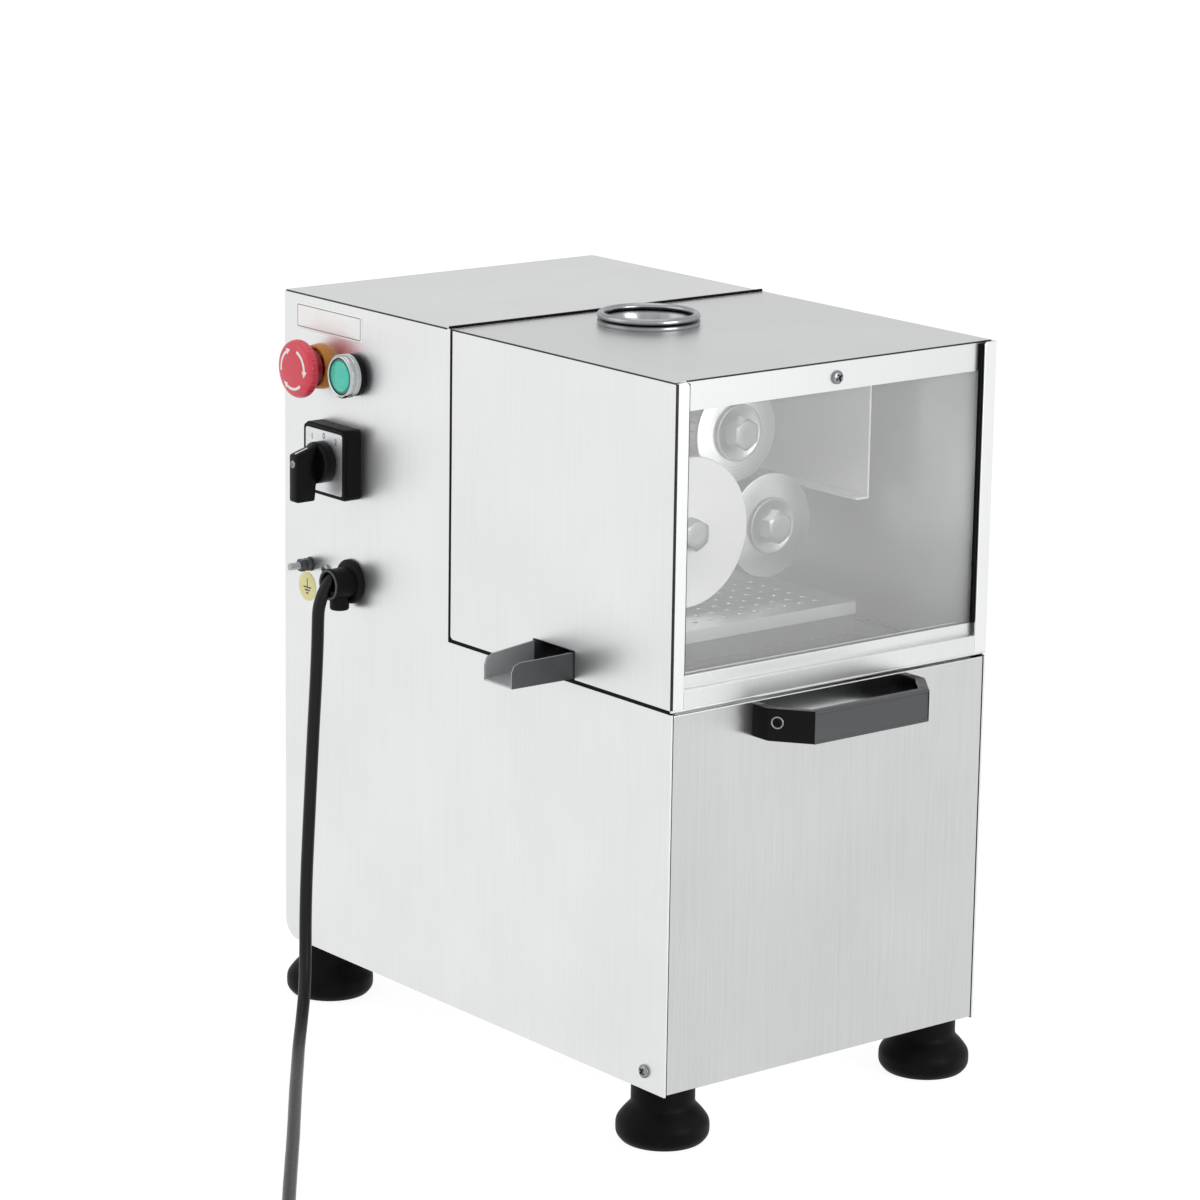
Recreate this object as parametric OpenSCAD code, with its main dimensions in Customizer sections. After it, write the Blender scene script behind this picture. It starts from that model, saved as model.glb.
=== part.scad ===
// Electric sugarcane juicer: a stainless cabinet with a window hood, three fluted rollers driven by
// a geared motor, a juice tray with a side spout and a pull-out residue drawer. Millimetres.
// The front faces -Y, the controls and the spout are on -X, and the feet stand on Z = 0.

/* [Cabinet] */
// Width of the cabinet, side to side
body_w = 265; // [255:1:320]
// Depth of the cabinet, front to back
body_d = 415; // [410:1:470]
// Height of the cabinet above its feet
body_h = 455; // [450:1:520]
// Thickness of the stainless sheet
sheet = 1.5; // [1:0.1:2]
// Height of the hood above the seam
hood_h = 207; // [205:1:240]
// Depth of the hood, from the front to the rear housing
hood_d = 229; // [226:1:250]
// Black gasket showing between hood and cabinet
seam_gap = 2.4; // [1.5:0.1:4]
// Width of the folded inner flanges
flange_w = 26; // [22:1:32]
// Radius of the rounded lower rear corner of the side panels
corner_r = 14; // [4:1:24]

/* [Window] */
// Width of the front stiles beside the window
stile_w = 10; // [8:1:16]
// Height of the folded flange above the window
brow_h = 19; // [15:1:30]
// Height of the sill rail below the window
sill_h = 12; // [8:1:20]
// Height of the lip strip that holds the pane's lower edge
lip_h = 8; // [5:1:14]
// How far the pane lies behind the stiles
pane_recess = 6; // [4:0.5:10]
// Thickness of the clear pane
pane_t = 4; // [3:0.5:6]

/* [Feed opening] */
// Inside diameter of the feed opening
feed_d = 55; // [48:1:60]
// Diameter of the round bead that rims it
feed_bead = 7; // [5:0.5:9]
// Length of the feed tube below the top sheet
feed_tube_len = 46; // [30:1:55]

/* [Rollers] */
// Module of the roller gears
gear_m = 3; // [2.9:0.05:3.1]
// Teeth on each roller gear
gear_teeth = 25; // [24:1:26]
// Direction from the main roller to the upper one, in degrees from +X
upper_angle = 54; // [52:1:60]
// Direction from the main roller to the lower one, in degrees from +X
lower_angle = -4; // [-8:1:-2]
// Height of the main roller's axis above the seam
main_rise = 76; // [74:1:84]
// How far the main roller's axis lies left of the cabinet's middle
main_left = 13.5; // [0:0.5:16]
// Radius of the main roller
main_r = 39; // [36:0.5:39.5]
// Gap of the first nip, between main and upper roller
nip_first = 2.5; // [1:0.1:4]
// Gap of the second nip, between main and lower roller
nip_second = 0.8; // [0.5:0.1:2]
// Length of the rollers
roller_len = 84; // [70:1:92]
// Radius of the flange disc on the front of the main roller
flange_r = 50; // [46:0.5:52]
// Depth of the roller flutes
flute_depth = 1.6; // [0.8:0.1:2.5]
// Number of flutes on each roller
flutes = 36; // [24:1:48]
// Diameter of the roller shafts
shaft_d = 25; // [20:0.5:28]
// Size across flats of the roller bolts
bolt_af = 19; // [16:1:22]

/* [Drive] */
// Thickness of a bearing plate, as a share of the motor room's depth
plate_share = 0.075; // [0.06:0.005:0.085]
// Space for the gears between the bearing plates, as a share of that depth
bay_share = 0.2475; // [0.235:0.0025:0.26]
// Room between the plates and the reducer, as a share of that depth
standoff_share = 0.097; // [0.08:0.001:0.1]
// Depth of the reducer case, as a share of that depth
reducer_share = 0.398; // [0.36:0.002:0.402]
// Diameter of the motor, as a share of that depth
motor_share = 0.527; // [0.48:0.001:0.53]
// Length of the motor, as a share of the height below its flange
motor_len_share = 0.713; // [0.6:0.001:0.8]
// Offset between the reducer's output and worm axes
worm_offset = 40; // [36:1:44]

/* [Juice tray] */
// Height of the juice tray's walls
tray_h = 20; // [16:1:22]
// Front edge of the tray, behind the front of the cabinet
tray_setback = 96; // [92:1:104]
// Gap between the tray and the right side of the hood
tray_right_gap = 29; // [16:1:34]
// Fall of the tray's floor from right to left
tray_fall = 7; // [3:0.5:9]
// How far the spout reaches out from the cabinet
spout_out = 44; // [40:1:70]
// Width of the spout at the cabinet
spout_w = 41; // [30:1:46]
// Width of the spout at its outer end
spout_tip_w = 29; // [20:1:40]

/* [Drawer] */
// Depth of the folded drawer front
drawer_front_d = 14; // [10:1:20]
// Thickness of the drawer bin's walls
bin_wall = 1.2; // [0.8:0.1:2]
// Length of the drawer handle
handle_len = 133; // [110:1:160]
// How far the handle stands out
handle_out = 38; // [32:1:46]
// Height of the handle
handle_h = 21; // [16:1:26]
// Thickness of the handle
handle_t = 7; // [5:0.5:9]

/* [Feet] */
// Height of the rubber feet
foot_h = 38; // [30:1:50]
// Radius of a foot's base
foot_r = 30; // [26:0.5:34]
// Radius of a foot's neck
foot_neck_r = 20.5; // [16:0.5:24]
// Inset of the feet from the sides
foot_inset_x = 20; // [18:1:30]
// Inset of the feet from the front and back
foot_inset_y = 25; // [22:1:36]

/* [Controls] */
// Diameter of the emergency stop's head
estop_d = 40; // [36:1:44]
// Travel of the emergency stop
estop_travel = 5; // [3:0.5:5]
// Diameter of the power button's bezel
bezel_d = 29.4; // [28:0.2:32]
// Travel of the power button
button_travel = 3; // [2:0.5:3.5]
// Side of the square selector plate
switch_size = 48; // [44:1:54]
// Thickness of the selector frame
switch_t = 13; // [10:0.5:16]
// Reach of the selector knob above its plate
knob_out = 25; // [20:1:30]
// Diameter of the earth stud
stud_d = 5; // [4:0.5:6]

/* [Fits] */
// Running clearance on the radius of shafts and stems
run_fit = 0.06; // [0.03:0.01:0.1]
// Clearance between pieces that slide past each other
slide_fit = 0.3; // [0.2:0.05:0.6]
// Clearance between fixed pieces that fit into each other
seat_fit = 0.1; // [0.05:0.05:0.3]

/* [Mains lead] */
// Diameter of the mains lead
cord_d = 8.5; // [7:0.5:9]

/* [Hidden] */
$fn = 64;

// The origin is under the middle of the whole outline: spout to feet, and handle to feet
off_x = (spout_out - foot_r + foot_inset_x) / 2;
off_y = (handle_out - foot_r + foot_inset_y) / 2;
x_left = off_x - body_w / 2;
x_right = off_x + body_w / 2;
y_front = off_y - body_d / 2;
y_back = off_y + body_d / 2;
z_body = foot_h;
z_top = foot_h + body_h;
z_seam = z_top - hood_h;
y_seam = y_front + hood_d;
z_hood = z_seam + seam_gap;
y_hood = y_seam - seam_gap;
edge = 14;              // narrow folded flange
gasket_w = 5;           // width of the gasket strip, from its inset outer face
gasket_inset = 0.6;

// Roller axes, from the gear centre distance
centre = gear_m * gear_teeth;
upper_r = centre - main_r - nip_first;
lower_r = centre - main_r - nip_second;
main_at = [off_x - main_left, z_seam + main_rise];
upper_at = main_at + centre * [cos(upper_angle), sin(upper_angle)];
lower_at = main_at + centre * [cos(lower_angle), sin(lower_angle)];
shaft_r = shaft_d / 2;
partition_t = 2;
y_partition = y_seam - partition_t;
roller_back_gap = 10;
y_roller_back = y_partition - roller_back_gap;
y_roller_front = y_roller_back - roller_len;
flange_t = 4;
flange_gap = 1.5;       // between the flange disc and the other two rollers
y_small_front = y_roller_front + flange_gap;
feed_at = [main_at[0] + 1.5, (y_roller_front + y_roller_back) / 2];
feed_r = feed_d / 2;
feed_wall = 1.5;

// Planes of the gear case behind the partition
room_d = y_back - y_seam;
plate_t = plate_share * room_d;
gear_bay = bay_share * room_d;
standoff_len = standoff_share * room_d;
reducer_d = reducer_share * room_d;
motor_d = motor_share * room_d;
y_plate1 = y_seam;
y_bay = y_plate1 + plate_t;
y_plate2 = y_bay + gear_bay;
y_plate2_back = y_plate2 + plate_t;
y_reducer = y_plate2_back + standoff_len;
y_reducer_back = y_reducer + reducer_d;
y_worm = y_reducer + reducer_d / 2;
x_worm = main_at[0] + worm_offset;
plate_left_share = 0.2132;
plate_right_share = 0.0894;
plate_x0 = x_left + plate_left_share * body_w;
plate_x1 = x_right - plate_right_share * body_w;
plate_z0 = main_at[1] - 60;
plate_z1 = upper_at[1] + 44;
spacer_inset = 13;
bush_r = 17;
bush_flange_r = 20;
bush_flange_t = 2.3;
key_w = 8;
key_out = 3;
gear_side_gap = 3;

// Tray, drawer and control places
tray_x0 = x_left + gasket_inset + gasket_w + 0.5;
tray_x1 = x_right - tray_right_gap;
tray_y0 = y_front + tray_setback;
tray_y1 = y_partition - 1;
spout_y = tray_y0 + spout_w / 2 + 1;
z_drawer_top = z_seam - 0.5;
runner_h = 5;
runner_w = 12;
z_floor = z_body + sheet;
z_bin = z_floor + runner_h + slide_fit;
bin_drop = 45.2;        // from the seam down to the bin's rim
bin_h = z_seam - bin_drop - z_bin;
front_side_gap = 0.8;
handle_z = z_seam - 13;
button_row = 46;        // rows of the controls, below the top
switch_row = 106;
stud_row = 184;
gland_row = 187;
estop_in = 42.5;        // places of the controls, from the back
button_in = 81;
switch_in = 64;
stud_in = 30.5;
gland_in = 78;
gland_screw_in = 29;
lower_screw_in = 19.5;
lower_screw_rise = 12.5;
estop_at = [y_back - estop_in, z_top - button_row];
button_at = [y_back - button_in, z_top - button_row];
switch_at = [y_back - switch_in, z_top - switch_row];
stud_at = [y_back - stud_in, z_top - stud_row];
gland_at = [y_back - gland_in, z_top - gland_row];
gland_screw_at = gland_at + [gland_screw_in, 2];
lower_screw_at = [y_front + lower_screw_in, z_body + lower_screw_rise];
panel_hole_r = 11.2;

// Steel colours and plastics as the photograph shows them
steel = "#cfd1d2";
bright = "#e2e4e5";
iron = "#6f7478";
black = "#1b1b1c";

module slab(x0, x1, y0, y1, z0, z1) {
    translate([x0, y0, z0]) cube([x1 - x0, y1 - y0, z1 - z0]);
}

module span(a0, a1, b0, b1) {
    translate([a0, b0]) square([a1 - a0, b1 - b0]);
}

module round_rect(w, h, r) {
    square([w - 2 * r, h], center = true);
    square([w, h - 2 * r], center = true);
    for (sx = [-1, 1], sy = [-1, 1]) translate([sx * (w / 2 - r), sy * (h / 2 - r)]) circle(r);
}

// Extrusions of a flat outline: along X from (Y, Z), and along Y from (X, Z)
module along_x(x0, x1) {
    translate([x0, 0, 0]) rotate([90, 0, 90]) linear_extrude(x1 - x0) children();
}

module along_y(y0, y1) {
    translate([0, y1, 0]) rotate([90, 0, 0]) linear_extrude(y1 - y0) children();
}

module rod_y(at, r, y0, y1) {
    along_y(y0, y1) translate(at) circle(r);
}

// A place on the left panel: local Z points outwards and local X points up
module on_left(at) {
    translate([x_left, at[0], at[1]]) rotate([0, -90, 0]) children();
}

// Pan-head screw with a cross recess, head upwards from Z = 0
module pan_screw(head_r, head_h, shank_r, shank_len) {
    cross_w = head_r * 0.3;
    difference() {
        union() {
            cylinder(r = head_r, h = head_h * 0.45);
            translate([0, 0, head_h * 0.45]) cylinder(r1 = head_r, r2 = head_r * 0.6, h = head_h * 0.55);
        }
        for (a = [0, 90]) rotate(a) translate([-head_r * 0.5, -cross_w / 2, head_h * 0.5])
            cube([head_r, cross_w, head_h]);
    }
    translate([0, 0, -shank_len]) cylinder(r = shank_r, h = shank_len + 0.1);
}

// Outline of a side panel: full height behind the seam, and low in front of it
module side_outline() {
    difference() {
        union() {
            span(y_front, y_back, z_body, z_seam);
            span(y_seam, y_back, z_body, z_top);
        }
        difference() {
            span(y_back - corner_r, y_back + 1, z_body - 1, z_body + corner_r);
            translate([y_back - corner_r, z_body + corner_r]) circle(corner_r);
        }
    }
}

// Folded flanges of a side panel: hood ledge, seam, top and rear, written for the left panel
module side_flanges(x_in) {
    slab(x_in, x_in + flange_w, y_front + drawer_front_d + 2, y_partition, z_seam - sheet, z_seam);
    slab(x_in, x_in + edge, y_seam, y_seam + sheet, z_seam - sheet, z_top - 2 * sheet);
    slab(x_in, x_in + edge, y_seam, y_back - sheet, z_top - 2 * sheet, z_top - sheet);
    slab(x_in, x_in + edge, y_back - 2 * sheet, y_back - sheet, z_body + corner_r, z_top - sheet);
}

module left_side_panel() color(bright) {
    along_x(x_left, x_left + sheet) difference() {
        side_outline();
        for (at = [estop_at, button_at, switch_at]) translate(at) circle(panel_hole_r);
        for (at = [gland_screw_at, lower_screw_at]) translate(at) circle(screw_r + seat_fit);
        translate(stud_at) circle(stud_d / 2 + seat_fit);
        translate(gland_at) circle(gland_thread_r + seat_fit);
    }
    side_flanges(x_left + sheet);
}

module right_side_panel() color(bright) {
    along_x(x_right - sheet, x_right) difference() {
        side_outline();
        translate(lower_screw_at) circle(screw_r + seat_fit);
    }
    translate([2 * off_x, 0, 0]) mirror([1, 0, 0]) side_flanges(x_left + sheet);
}

// Floor of the cabinet, with turned-up edges at the sides and the back
module base_pan() color(steel) {
    pan_x0 = x_left + sheet + seat_fit;
    pan_x1 = x_right - sheet - seat_fit;
    pan_y0 = y_front + drawer_front_d + 2;
    pan_y1 = y_back - corner_r;
    turn_h = 25;
    difference() {
        union() {
            slab(pan_x0, pan_x1, pan_y0, pan_y1, z_body, z_floor);
            slab(pan_x0, pan_x0 + sheet, pan_y0, pan_y1, z_body, z_body + turn_h);
            slab(pan_x1 - sheet, pan_x1, pan_y0, pan_y1, z_body, z_body + turn_h);
            slab(pan_x0, pan_x1, pan_y1 - sheet, pan_y1, z_body, z_body + turn_h);
        }
        along_x(x_left, x_right) translate(lower_screw_at) circle(screw_r + seat_fit);
        for (p = foot_places) translate([p[0], p[1], z_body - 1])
            cylinder(r = foot_stud_r + seat_fit, h = sheet + 2);
    }
}

// One folded sheet: the top of the rear housing and its louvred back
module rear_cover() color(bright) {
    half = body_w / 2 - sheet - seat_fit;
    slots = 7;
    slot_w = 70;
    slot_h = 6;
    slot_pitch = 16;
    slot_z = z_body + 70;
    difference() {
        union() {
            slab(off_x - half, off_x + half, y_seam, y_back, z_top - sheet, z_top);
            slab(off_x - half, off_x + half, y_back - sheet, y_back, z_body + corner_r + 1, z_top);
            slab(off_x - half + edge + 1, off_x + half - edge - 1, y_seam, y_seam + sheet,
                z_top - edge, z_top);
        }
        for (sx = [-1, 1], i = [0:slots - 1])
            along_y(y_back - sheet - 1, y_back + 1)
                translate([off_x + sx * slot_w * 0.65, slot_z + i * slot_pitch])
                    round_rect(slot_w, slot_h, slot_h / 2 - 0.01);
    }
}

// Upright sheet between the press chamber and the motor room, with the three shaft holes
module partition() color(steel) {
    half = body_w / 2 - gasket_inset - gasket_w - seat_fit;
    along_y(y_partition, y_seam) difference() {
        span(off_x - half, off_x + half, z_floor, z_top - gasket_inset - gasket_w - seat_fit);
        for (at = [main_at, upper_at, lower_at]) translate(at) circle(bush_r);
    }
}

// Side of the hood, with its front edge folded in as a stile beside the window
module hood_side() {
    round_r = 3;
    along_x(x_left, x_left + sheet) difference() {
        span(y_front, y_hood, z_hood, z_top);
        difference() {
            span(y_hood - round_r, y_hood + 1, z_hood - 1, z_hood + round_r);
            translate([y_hood - round_r, z_hood + round_r]) circle(round_r);
        }
    }
    along_y(y_front, y_front + sheet) difference() {
        span(x_left, x_left + stile_w, z_hood, z_top);
        difference() {
            span(x_left + stile_w - round_r, x_left + stile_w + 1, z_top - round_r, z_top + 1);
            translate([x_left + stile_w - round_r, z_top - round_r]) circle(round_r);
        }
    }
}

module hood_left_side() color(bright) {
    notch_gap = 1;
    difference() {
        hood_side();
        along_x(x_left - 1, x_left + sheet + 1)
            span(spout_y - spout_w / 2 - notch_gap, spout_y + spout_w / 2 + notch_gap, z_hood - 1,
                z_seam + tray_h + notch_gap);
    }
}

module hood_right_side() color(bright) {
    translate([2 * off_x, 0, 0]) mirror([1, 0, 0]) hood_side();
}

// Top of the hood between its sides, with a folded brow at the front and the feed hole
module hood_top() color(bright) {
    x0 = x_left + sheet;
    x1 = x_right - sheet;
    y0 = y_front + pane_recess - sheet;
    difference() {
        union() {
            slab(x0, x1, y0, y_hood, z_top - sheet, z_top);
            slab(x0, x1, y0, y0 + sheet, z_top - brow_h, z_top);
        }
        translate([feed_at[0], feed_at[1], z_top - sheet - 1])
            cylinder(r = feed_r + feed_wall + seat_fit, h = sheet + 2);
        along_y(y0 - 1, y0 + sheet + 1) translate([off_x, z_top - brow_screw_drop])
            circle(screw_r + seat_fit);
    }
}

// Rail below the window, with the channel that holds the pane's lower edge
module hood_sill() color(bright) {
    x0 = x_left + stile_w;
    x1 = x_right - stile_w;
    y_lip = y_front + pane_recess - slide_fit - sheet;
    y_rear = y_front + pane_recess + pane_t + slide_fit;
    slab(x0, x1, y_front, y_front + sheet, z_hood, z_hood + sill_h);
    slab(x0, x1, y_front, y_rear + sheet, z_hood + sill_h - sheet, z_hood + sill_h);
    slab(x0, x1, y_lip, y_lip + sheet, z_hood + sill_h - sheet, z_hood + sill_h + lip_h);
    slab(x0, x1, y_rear, y_rear + sheet, z_hood + sill_h - sheet, z_hood + sill_h + lip_h);
}

module window_pane() color("#cfe0e6", 0.35) {
    margin = sheet + 1;
    y0 = y_front + pane_recess;
    difference() {
        slab(x_left + margin, x_right - margin, y0, y0 + pane_t, z_hood + sill_h, z_top - sheet - 0.5);
        along_y(y0 - 1, y0 + pane_t + 1) translate([off_x, z_top - brow_screw_drop])
            circle(screw_r + seat_fit);
    }
}

// Black rubber strip that the hood is pressed against: along both lower edges and round the rear seam
module hood_gasket() color(black) {
    outer = body_w / 2 - gasket_inset;
    inner = outer - gasket_w;
    for (sx = [-1, 1]) translate([off_x, 0, 0]) mirror([sx < 0 ? 1 : 0, 0, 0])
        slab(inner, outer, y_front + sheet + 1, y_hood, z_seam, z_hood);
    along_y(y_hood, y_seam) difference() {
        span(off_x - outer, off_x + outer, z_seam, z_top - gasket_inset);
        span(off_x - inner, off_x + inner, z_seam - 1, z_top - gasket_inset - gasket_w);
    }
}

// Cross-recess screws: window brow, both lower front corners and the gland's fixing screw
screw_r = 2;
screw_head_r = 4.4;
screw_head_h = 2.6;
brow_screw_drop = 10.4;

module case_screws() color(steel) {
    translate([off_x, y_front + pane_recess - sheet, z_top - brow_screw_drop]) rotate([90, 0, 0])
        pan_screw(screw_head_r, screw_head_h, screw_r, sheet + pane_t + 4);
    on_left(lower_screw_at) pan_screw(screw_head_r, screw_head_h, screw_r, 2 * sheet + 3);
    translate([2 * off_x, 0, 0]) mirror([1, 0, 0]) on_left(lower_screw_at)
        pan_screw(screw_head_r, screw_head_h, screw_r, 2 * sheet + 3);
    on_left(gland_screw_at) pan_screw(screw_head_r, screw_head_h, screw_r, sheet + 5);
}

// Beaded ring and guide tube in the top sheet; the tube is cut back round the upper roller
module feed_collar() color(bright) {
    roller_room = 5;
    difference() {
        union() {
            translate([feed_at[0], feed_at[1], z_top + feed_bead / 2]) rotate_extrude()
                translate([feed_r + feed_bead / 2, 0]) circle(feed_bead / 2, $fn = 32);
            translate([feed_at[0], feed_at[1], z_top - feed_tube_len])
                cylinder(r = feed_r + feed_wall, h = feed_tube_len + feed_bead / 2);
        }
        translate([feed_at[0], feed_at[1], z_top - feed_tube_len - 1])
            cylinder(r = feed_r, h = feed_tube_len + feed_bead + 2);
        rod_y(upper_at, upper_r + roller_room, y_front, y_seam);
    }
}

// Juice tray: upright walls on the hood ledges, a floor that falls to the left, and the spout
spout_wall = 1.2;
spout_fall = 1.6;
spout_floor = z_hood + 0.6;
spout_tip_h = 16.5;

module tray_floor_outline(lift, thick) {
    z0 = spout_floor + lift;
    polygon([[tray_x0, z0], [tray_x1, z0 + tray_fall], [tray_x1, z0 + tray_fall + thick],
        [tray_x0, z0 + thick]]);
}

module spout_plan(w0, w1, x_in, x_out) {
    polygon([[x_in, spout_y - w0 / 2], [x_in, spout_y + w0 / 2], [x_left, spout_y + w0 / 2],
        [x_out, spout_y + w1 / 2], [x_out, spout_y - w1 / 2], [x_left, spout_y - w0 / 2]]);
}

module spout_side(z_low, z_high) {
    tip_r = 6;
    x_tip = x_left - spout_out;
    z_tip_low = spout_floor - spout_fall;
    polygon([[tray_x0 + 1, z_low], [x_left, z_low], [x_tip, z_low - spout_fall],
        [x_tip, z_tip_low + spout_tip_h - tip_r],
        [x_tip + tip_r * 0.3, z_tip_low + spout_tip_h - tip_r * 0.3],
        [x_tip + tip_r, z_tip_low + spout_tip_h], [x_left, z_high], [tray_x0 + 1, z_high]]);
}

module juice_tray() color(bright) {
    wall = spout_wall;
    z_rim = z_seam + tray_h;
    x_tip = x_left - spout_out;
    difference() {
        union() {
            slab(tray_x0, tray_x1, tray_y0, tray_y0 + wall, z_seam, z_rim);
            slab(tray_x0, tray_x1, tray_y1 - wall, tray_y1, z_seam, z_rim);
            slab(tray_x0, tray_x0 + wall, tray_y0, tray_y1, z_seam, z_rim);
            slab(tray_x1 - wall, tray_x1, tray_y0, tray_y1, z_seam, z_rim);
            along_y(tray_y0, tray_y1) tray_floor_outline(0, wall);
        }
        slab(tray_x0 - 1, tray_x0 + wall + 0.01, spout_y - spout_w / 2 + wall, spout_y + spout_w / 2 - wall,
            spout_floor + wall, z_rim - wall);
    }
    intersection() {
        along_y(spout_y - spout_w, spout_y + spout_w) spout_side(spout_floor, z_rim);
        difference() {
            translate([0, 0, z_seam - 10]) linear_extrude(tray_h + 20)
                spout_plan(spout_w, spout_tip_w, tray_x0, x_tip);
            along_y(spout_y - spout_w, spout_y + spout_w) translate([0, wall]) polygon([
                [tray_x0 + 2, spout_floor], [x_left, spout_floor], [x_tip - 1, spout_floor - spout_fall],
                [x_tip - 1, z_rim + 5], [tray_x0 + 2, z_rim + 5]]);
        }
    }
    intersection() {
        along_y(spout_y - spout_w, spout_y + spout_w) spout_side(spout_floor, z_rim);
        difference() {
            translate([0, 0, z_seam - 10]) linear_extrude(tray_h + 20)
                spout_plan(spout_w, spout_tip_w, tray_x0, x_tip);
            translate([0, 0, z_seam - 11]) linear_extrude(tray_h + 22)
                spout_plan(spout_w - 2 * wall, spout_tip_w - 2 * wall, tray_x0 + 1, x_tip - 1);
        }
    }
}

// Perforated plate on the tray, with its front edge folded down
module strainer_plate() color(steel) {
    lip = 8.5;
    hole_r = 2.5;
    pitch = 13;
    z0 = z_seam + tray_h;
    x0 = tray_x0;
    y0 = tray_y0 - sheet;
    cols = floor((tray_x1 - x0 - pitch) / pitch);
    rows = floor((y_roller_back - y0 - pitch) / pitch);
    difference() {
        union() {
            slab(x0, tray_x1, y0, tray_y1, z0, z0 + sheet);
            slab(x0, tray_x1, y0, y0 + sheet - seat_fit, z0 + sheet - lip, z0 + sheet);
        }
        for (i = [0:cols - 1], j = [0:rows - 1])
            translate([x0 + pitch * (i + 1), y0 + pitch * (j + 1.2), z0 - 1])
                cylinder(r = hole_r, h = sheet + 2, $fn = 16);
    }
}

// Upright splash plate right of the rollers, folded at its lower edge and screwed to the partition
splash_gap = 10;
splash_rise = 15;       // of its lower edge, above the main roller's axis
splash_lip = 10;

module splash_guide() color(steel) {
    x0 = lower_at[0] + lower_r + splash_gap;
    y0 = tray_y0 - 6;
    z0 = main_at[1] + splash_rise;
    z1 = z_top - sheet - gasket_inset - gasket_w - 1;
    slab(x0, x0 + sheet, y0, y_partition, z0, z1);
    slab(x0 - splash_lip, x0 + sheet, y0, y_roller_back, z0, z0 + sheet);
    slab(x0 - edge, x0 + sheet, y_partition - sheet, y_partition, z0, z1);
}

// Rubber feet: rounded base, flared shoulder and neck, with a bonded stud
foot_stud_r = 4;
foot_stud_out = 3;
foot_places = [for (sx = [-1, 1], sy = [-1, 1])
    [off_x + sx * (body_w / 2 - foot_inset_x), off_y + sy * (body_d / 2 - foot_inset_y)]];

module rubber_feet() color(black) {
    sole_r = foot_r - 4;
    wall_z = foot_h * 0.34;
    for (p = foot_places) translate([p[0], p[1], 0]) {
        rotate_extrude() polygon([[0, 0], [sole_r, 0], [foot_r - 1, 2.5], [foot_r, 5], [foot_r, wall_z],
            [foot_r - 2, wall_z + 3], [foot_r - 5, wall_z + 6.5], [foot_neck_r, foot_h * 0.65],
            [foot_neck_r, foot_h], [0, foot_h]]);
        translate([0, 0, foot_h - 1]) cylinder(r = foot_stud_r, h = sheet + foot_stud_out + 1);
    }
}

// Two plates that carry the roller shafts, on either side of the gears
module bearing_plate(y0) {
    along_y(y0, y0 + plate_t) difference() {
        span(plate_x0, plate_x1, plate_z0, plate_z1);
        for (at = [main_at, upper_at, lower_at]) translate(at) circle(bush_r + seat_fit);
        for (c = [[0, 0], [1, 0], [0, 1], [1, 1]]) difference() {
            translate([c[0] ? plate_x1 - 6 : plate_x0, c[1] ? plate_z1 - 6 : plate_z0]) square(6);
            translate([c[0] ? plate_x1 - 6 : plate_x0 + 6, c[1] ? plate_z1 - 6 : plate_z0 + 6]) circle(6);
        }
    }
}

module front_bearing_plate() color(iron) bearing_plate(y_plate1);
module rear_bearing_plate() color(iron) bearing_plate(y_plate2);

// Round spacers between the plates, and longer ones that carry the reducer
module plate_spacers() color(steel) {
    for (x = [plate_x0 + spacer_inset, plate_x1 - spacer_inset],
        z = [plate_z0 + spacer_inset, plate_z1 - spacer_inset])
        rod_y([x, z], 8, y_bay, y_plate2);
    for (a = [45:90:315])
        rod_y(main_at + reducer_bolt_r * [cos(a), sin(a)], 6, y_plate2_back, y_reducer);
}

// Flanged bronze bushes, one for each shaft in each plate
module bearing_bushes() color("#b08d4c") {
    for (at = [main_at, upper_at, lower_at]) difference() {
        union() {
            rod_y(at, bush_r, y_plate1, y_bay);
            rod_y(at, bush_flange_r, y_bay, y_bay + bush_flange_t);
            rod_y(at, bush_r, y_plate2, y_plate2_back);
            rod_y(at, bush_flange_r, y_plate2 - bush_flange_t, y_plate2);
        }
        rod_y(at, shaft_r + run_fit, y_plate1 - 1, y_plate2_back + 1);
    }
}

// Lip seals that keep juice out of the bushes
module shaft_seals() color(black) {
    seal_t = 5;
    for (at = [main_at, upper_at, lower_at])
        along_y(y_partition - seal_t, y_partition) translate(at) difference() {
            circle(bush_flange_r);
            circle(shaft_r + run_fit);
        }
}

// Folded steel stand that carries both bearing plates on the floor
module press_stand() color(iron) {
    t = 5;
    foot = 22;
    for (x = [plate_x0, plate_x1 - t]) slab(x, x + t, y_plate1, y_plate2_back, z_floor, plate_z0);
    slab(plate_x0, plate_x0 + foot, y_plate1, y_plate2_back, z_floor, z_floor + t);
    slab(plate_x1 - foot, plate_x1, y_plate1, y_plate2_back, z_floor, z_floor + t);
    slab(plate_x0, plate_x1, y_plate1, y_plate1 + t, plate_z0 - 30, plate_z0);
}

// Worm reducer: output drum on the main shaft, upright worm tube and motor flange
reducer_r = 44;
reducer_bolt_r = 36;
worm_tube_r = 0.378 * reducer_d;
worm_tube_h = 108;
motor_flange_r = motor_d / 2 + 1.5;
motor_flange_drop = 56;
z_motor_flange = main_at[1] - motor_flange_drop;
motor_flange_t = 8;

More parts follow.
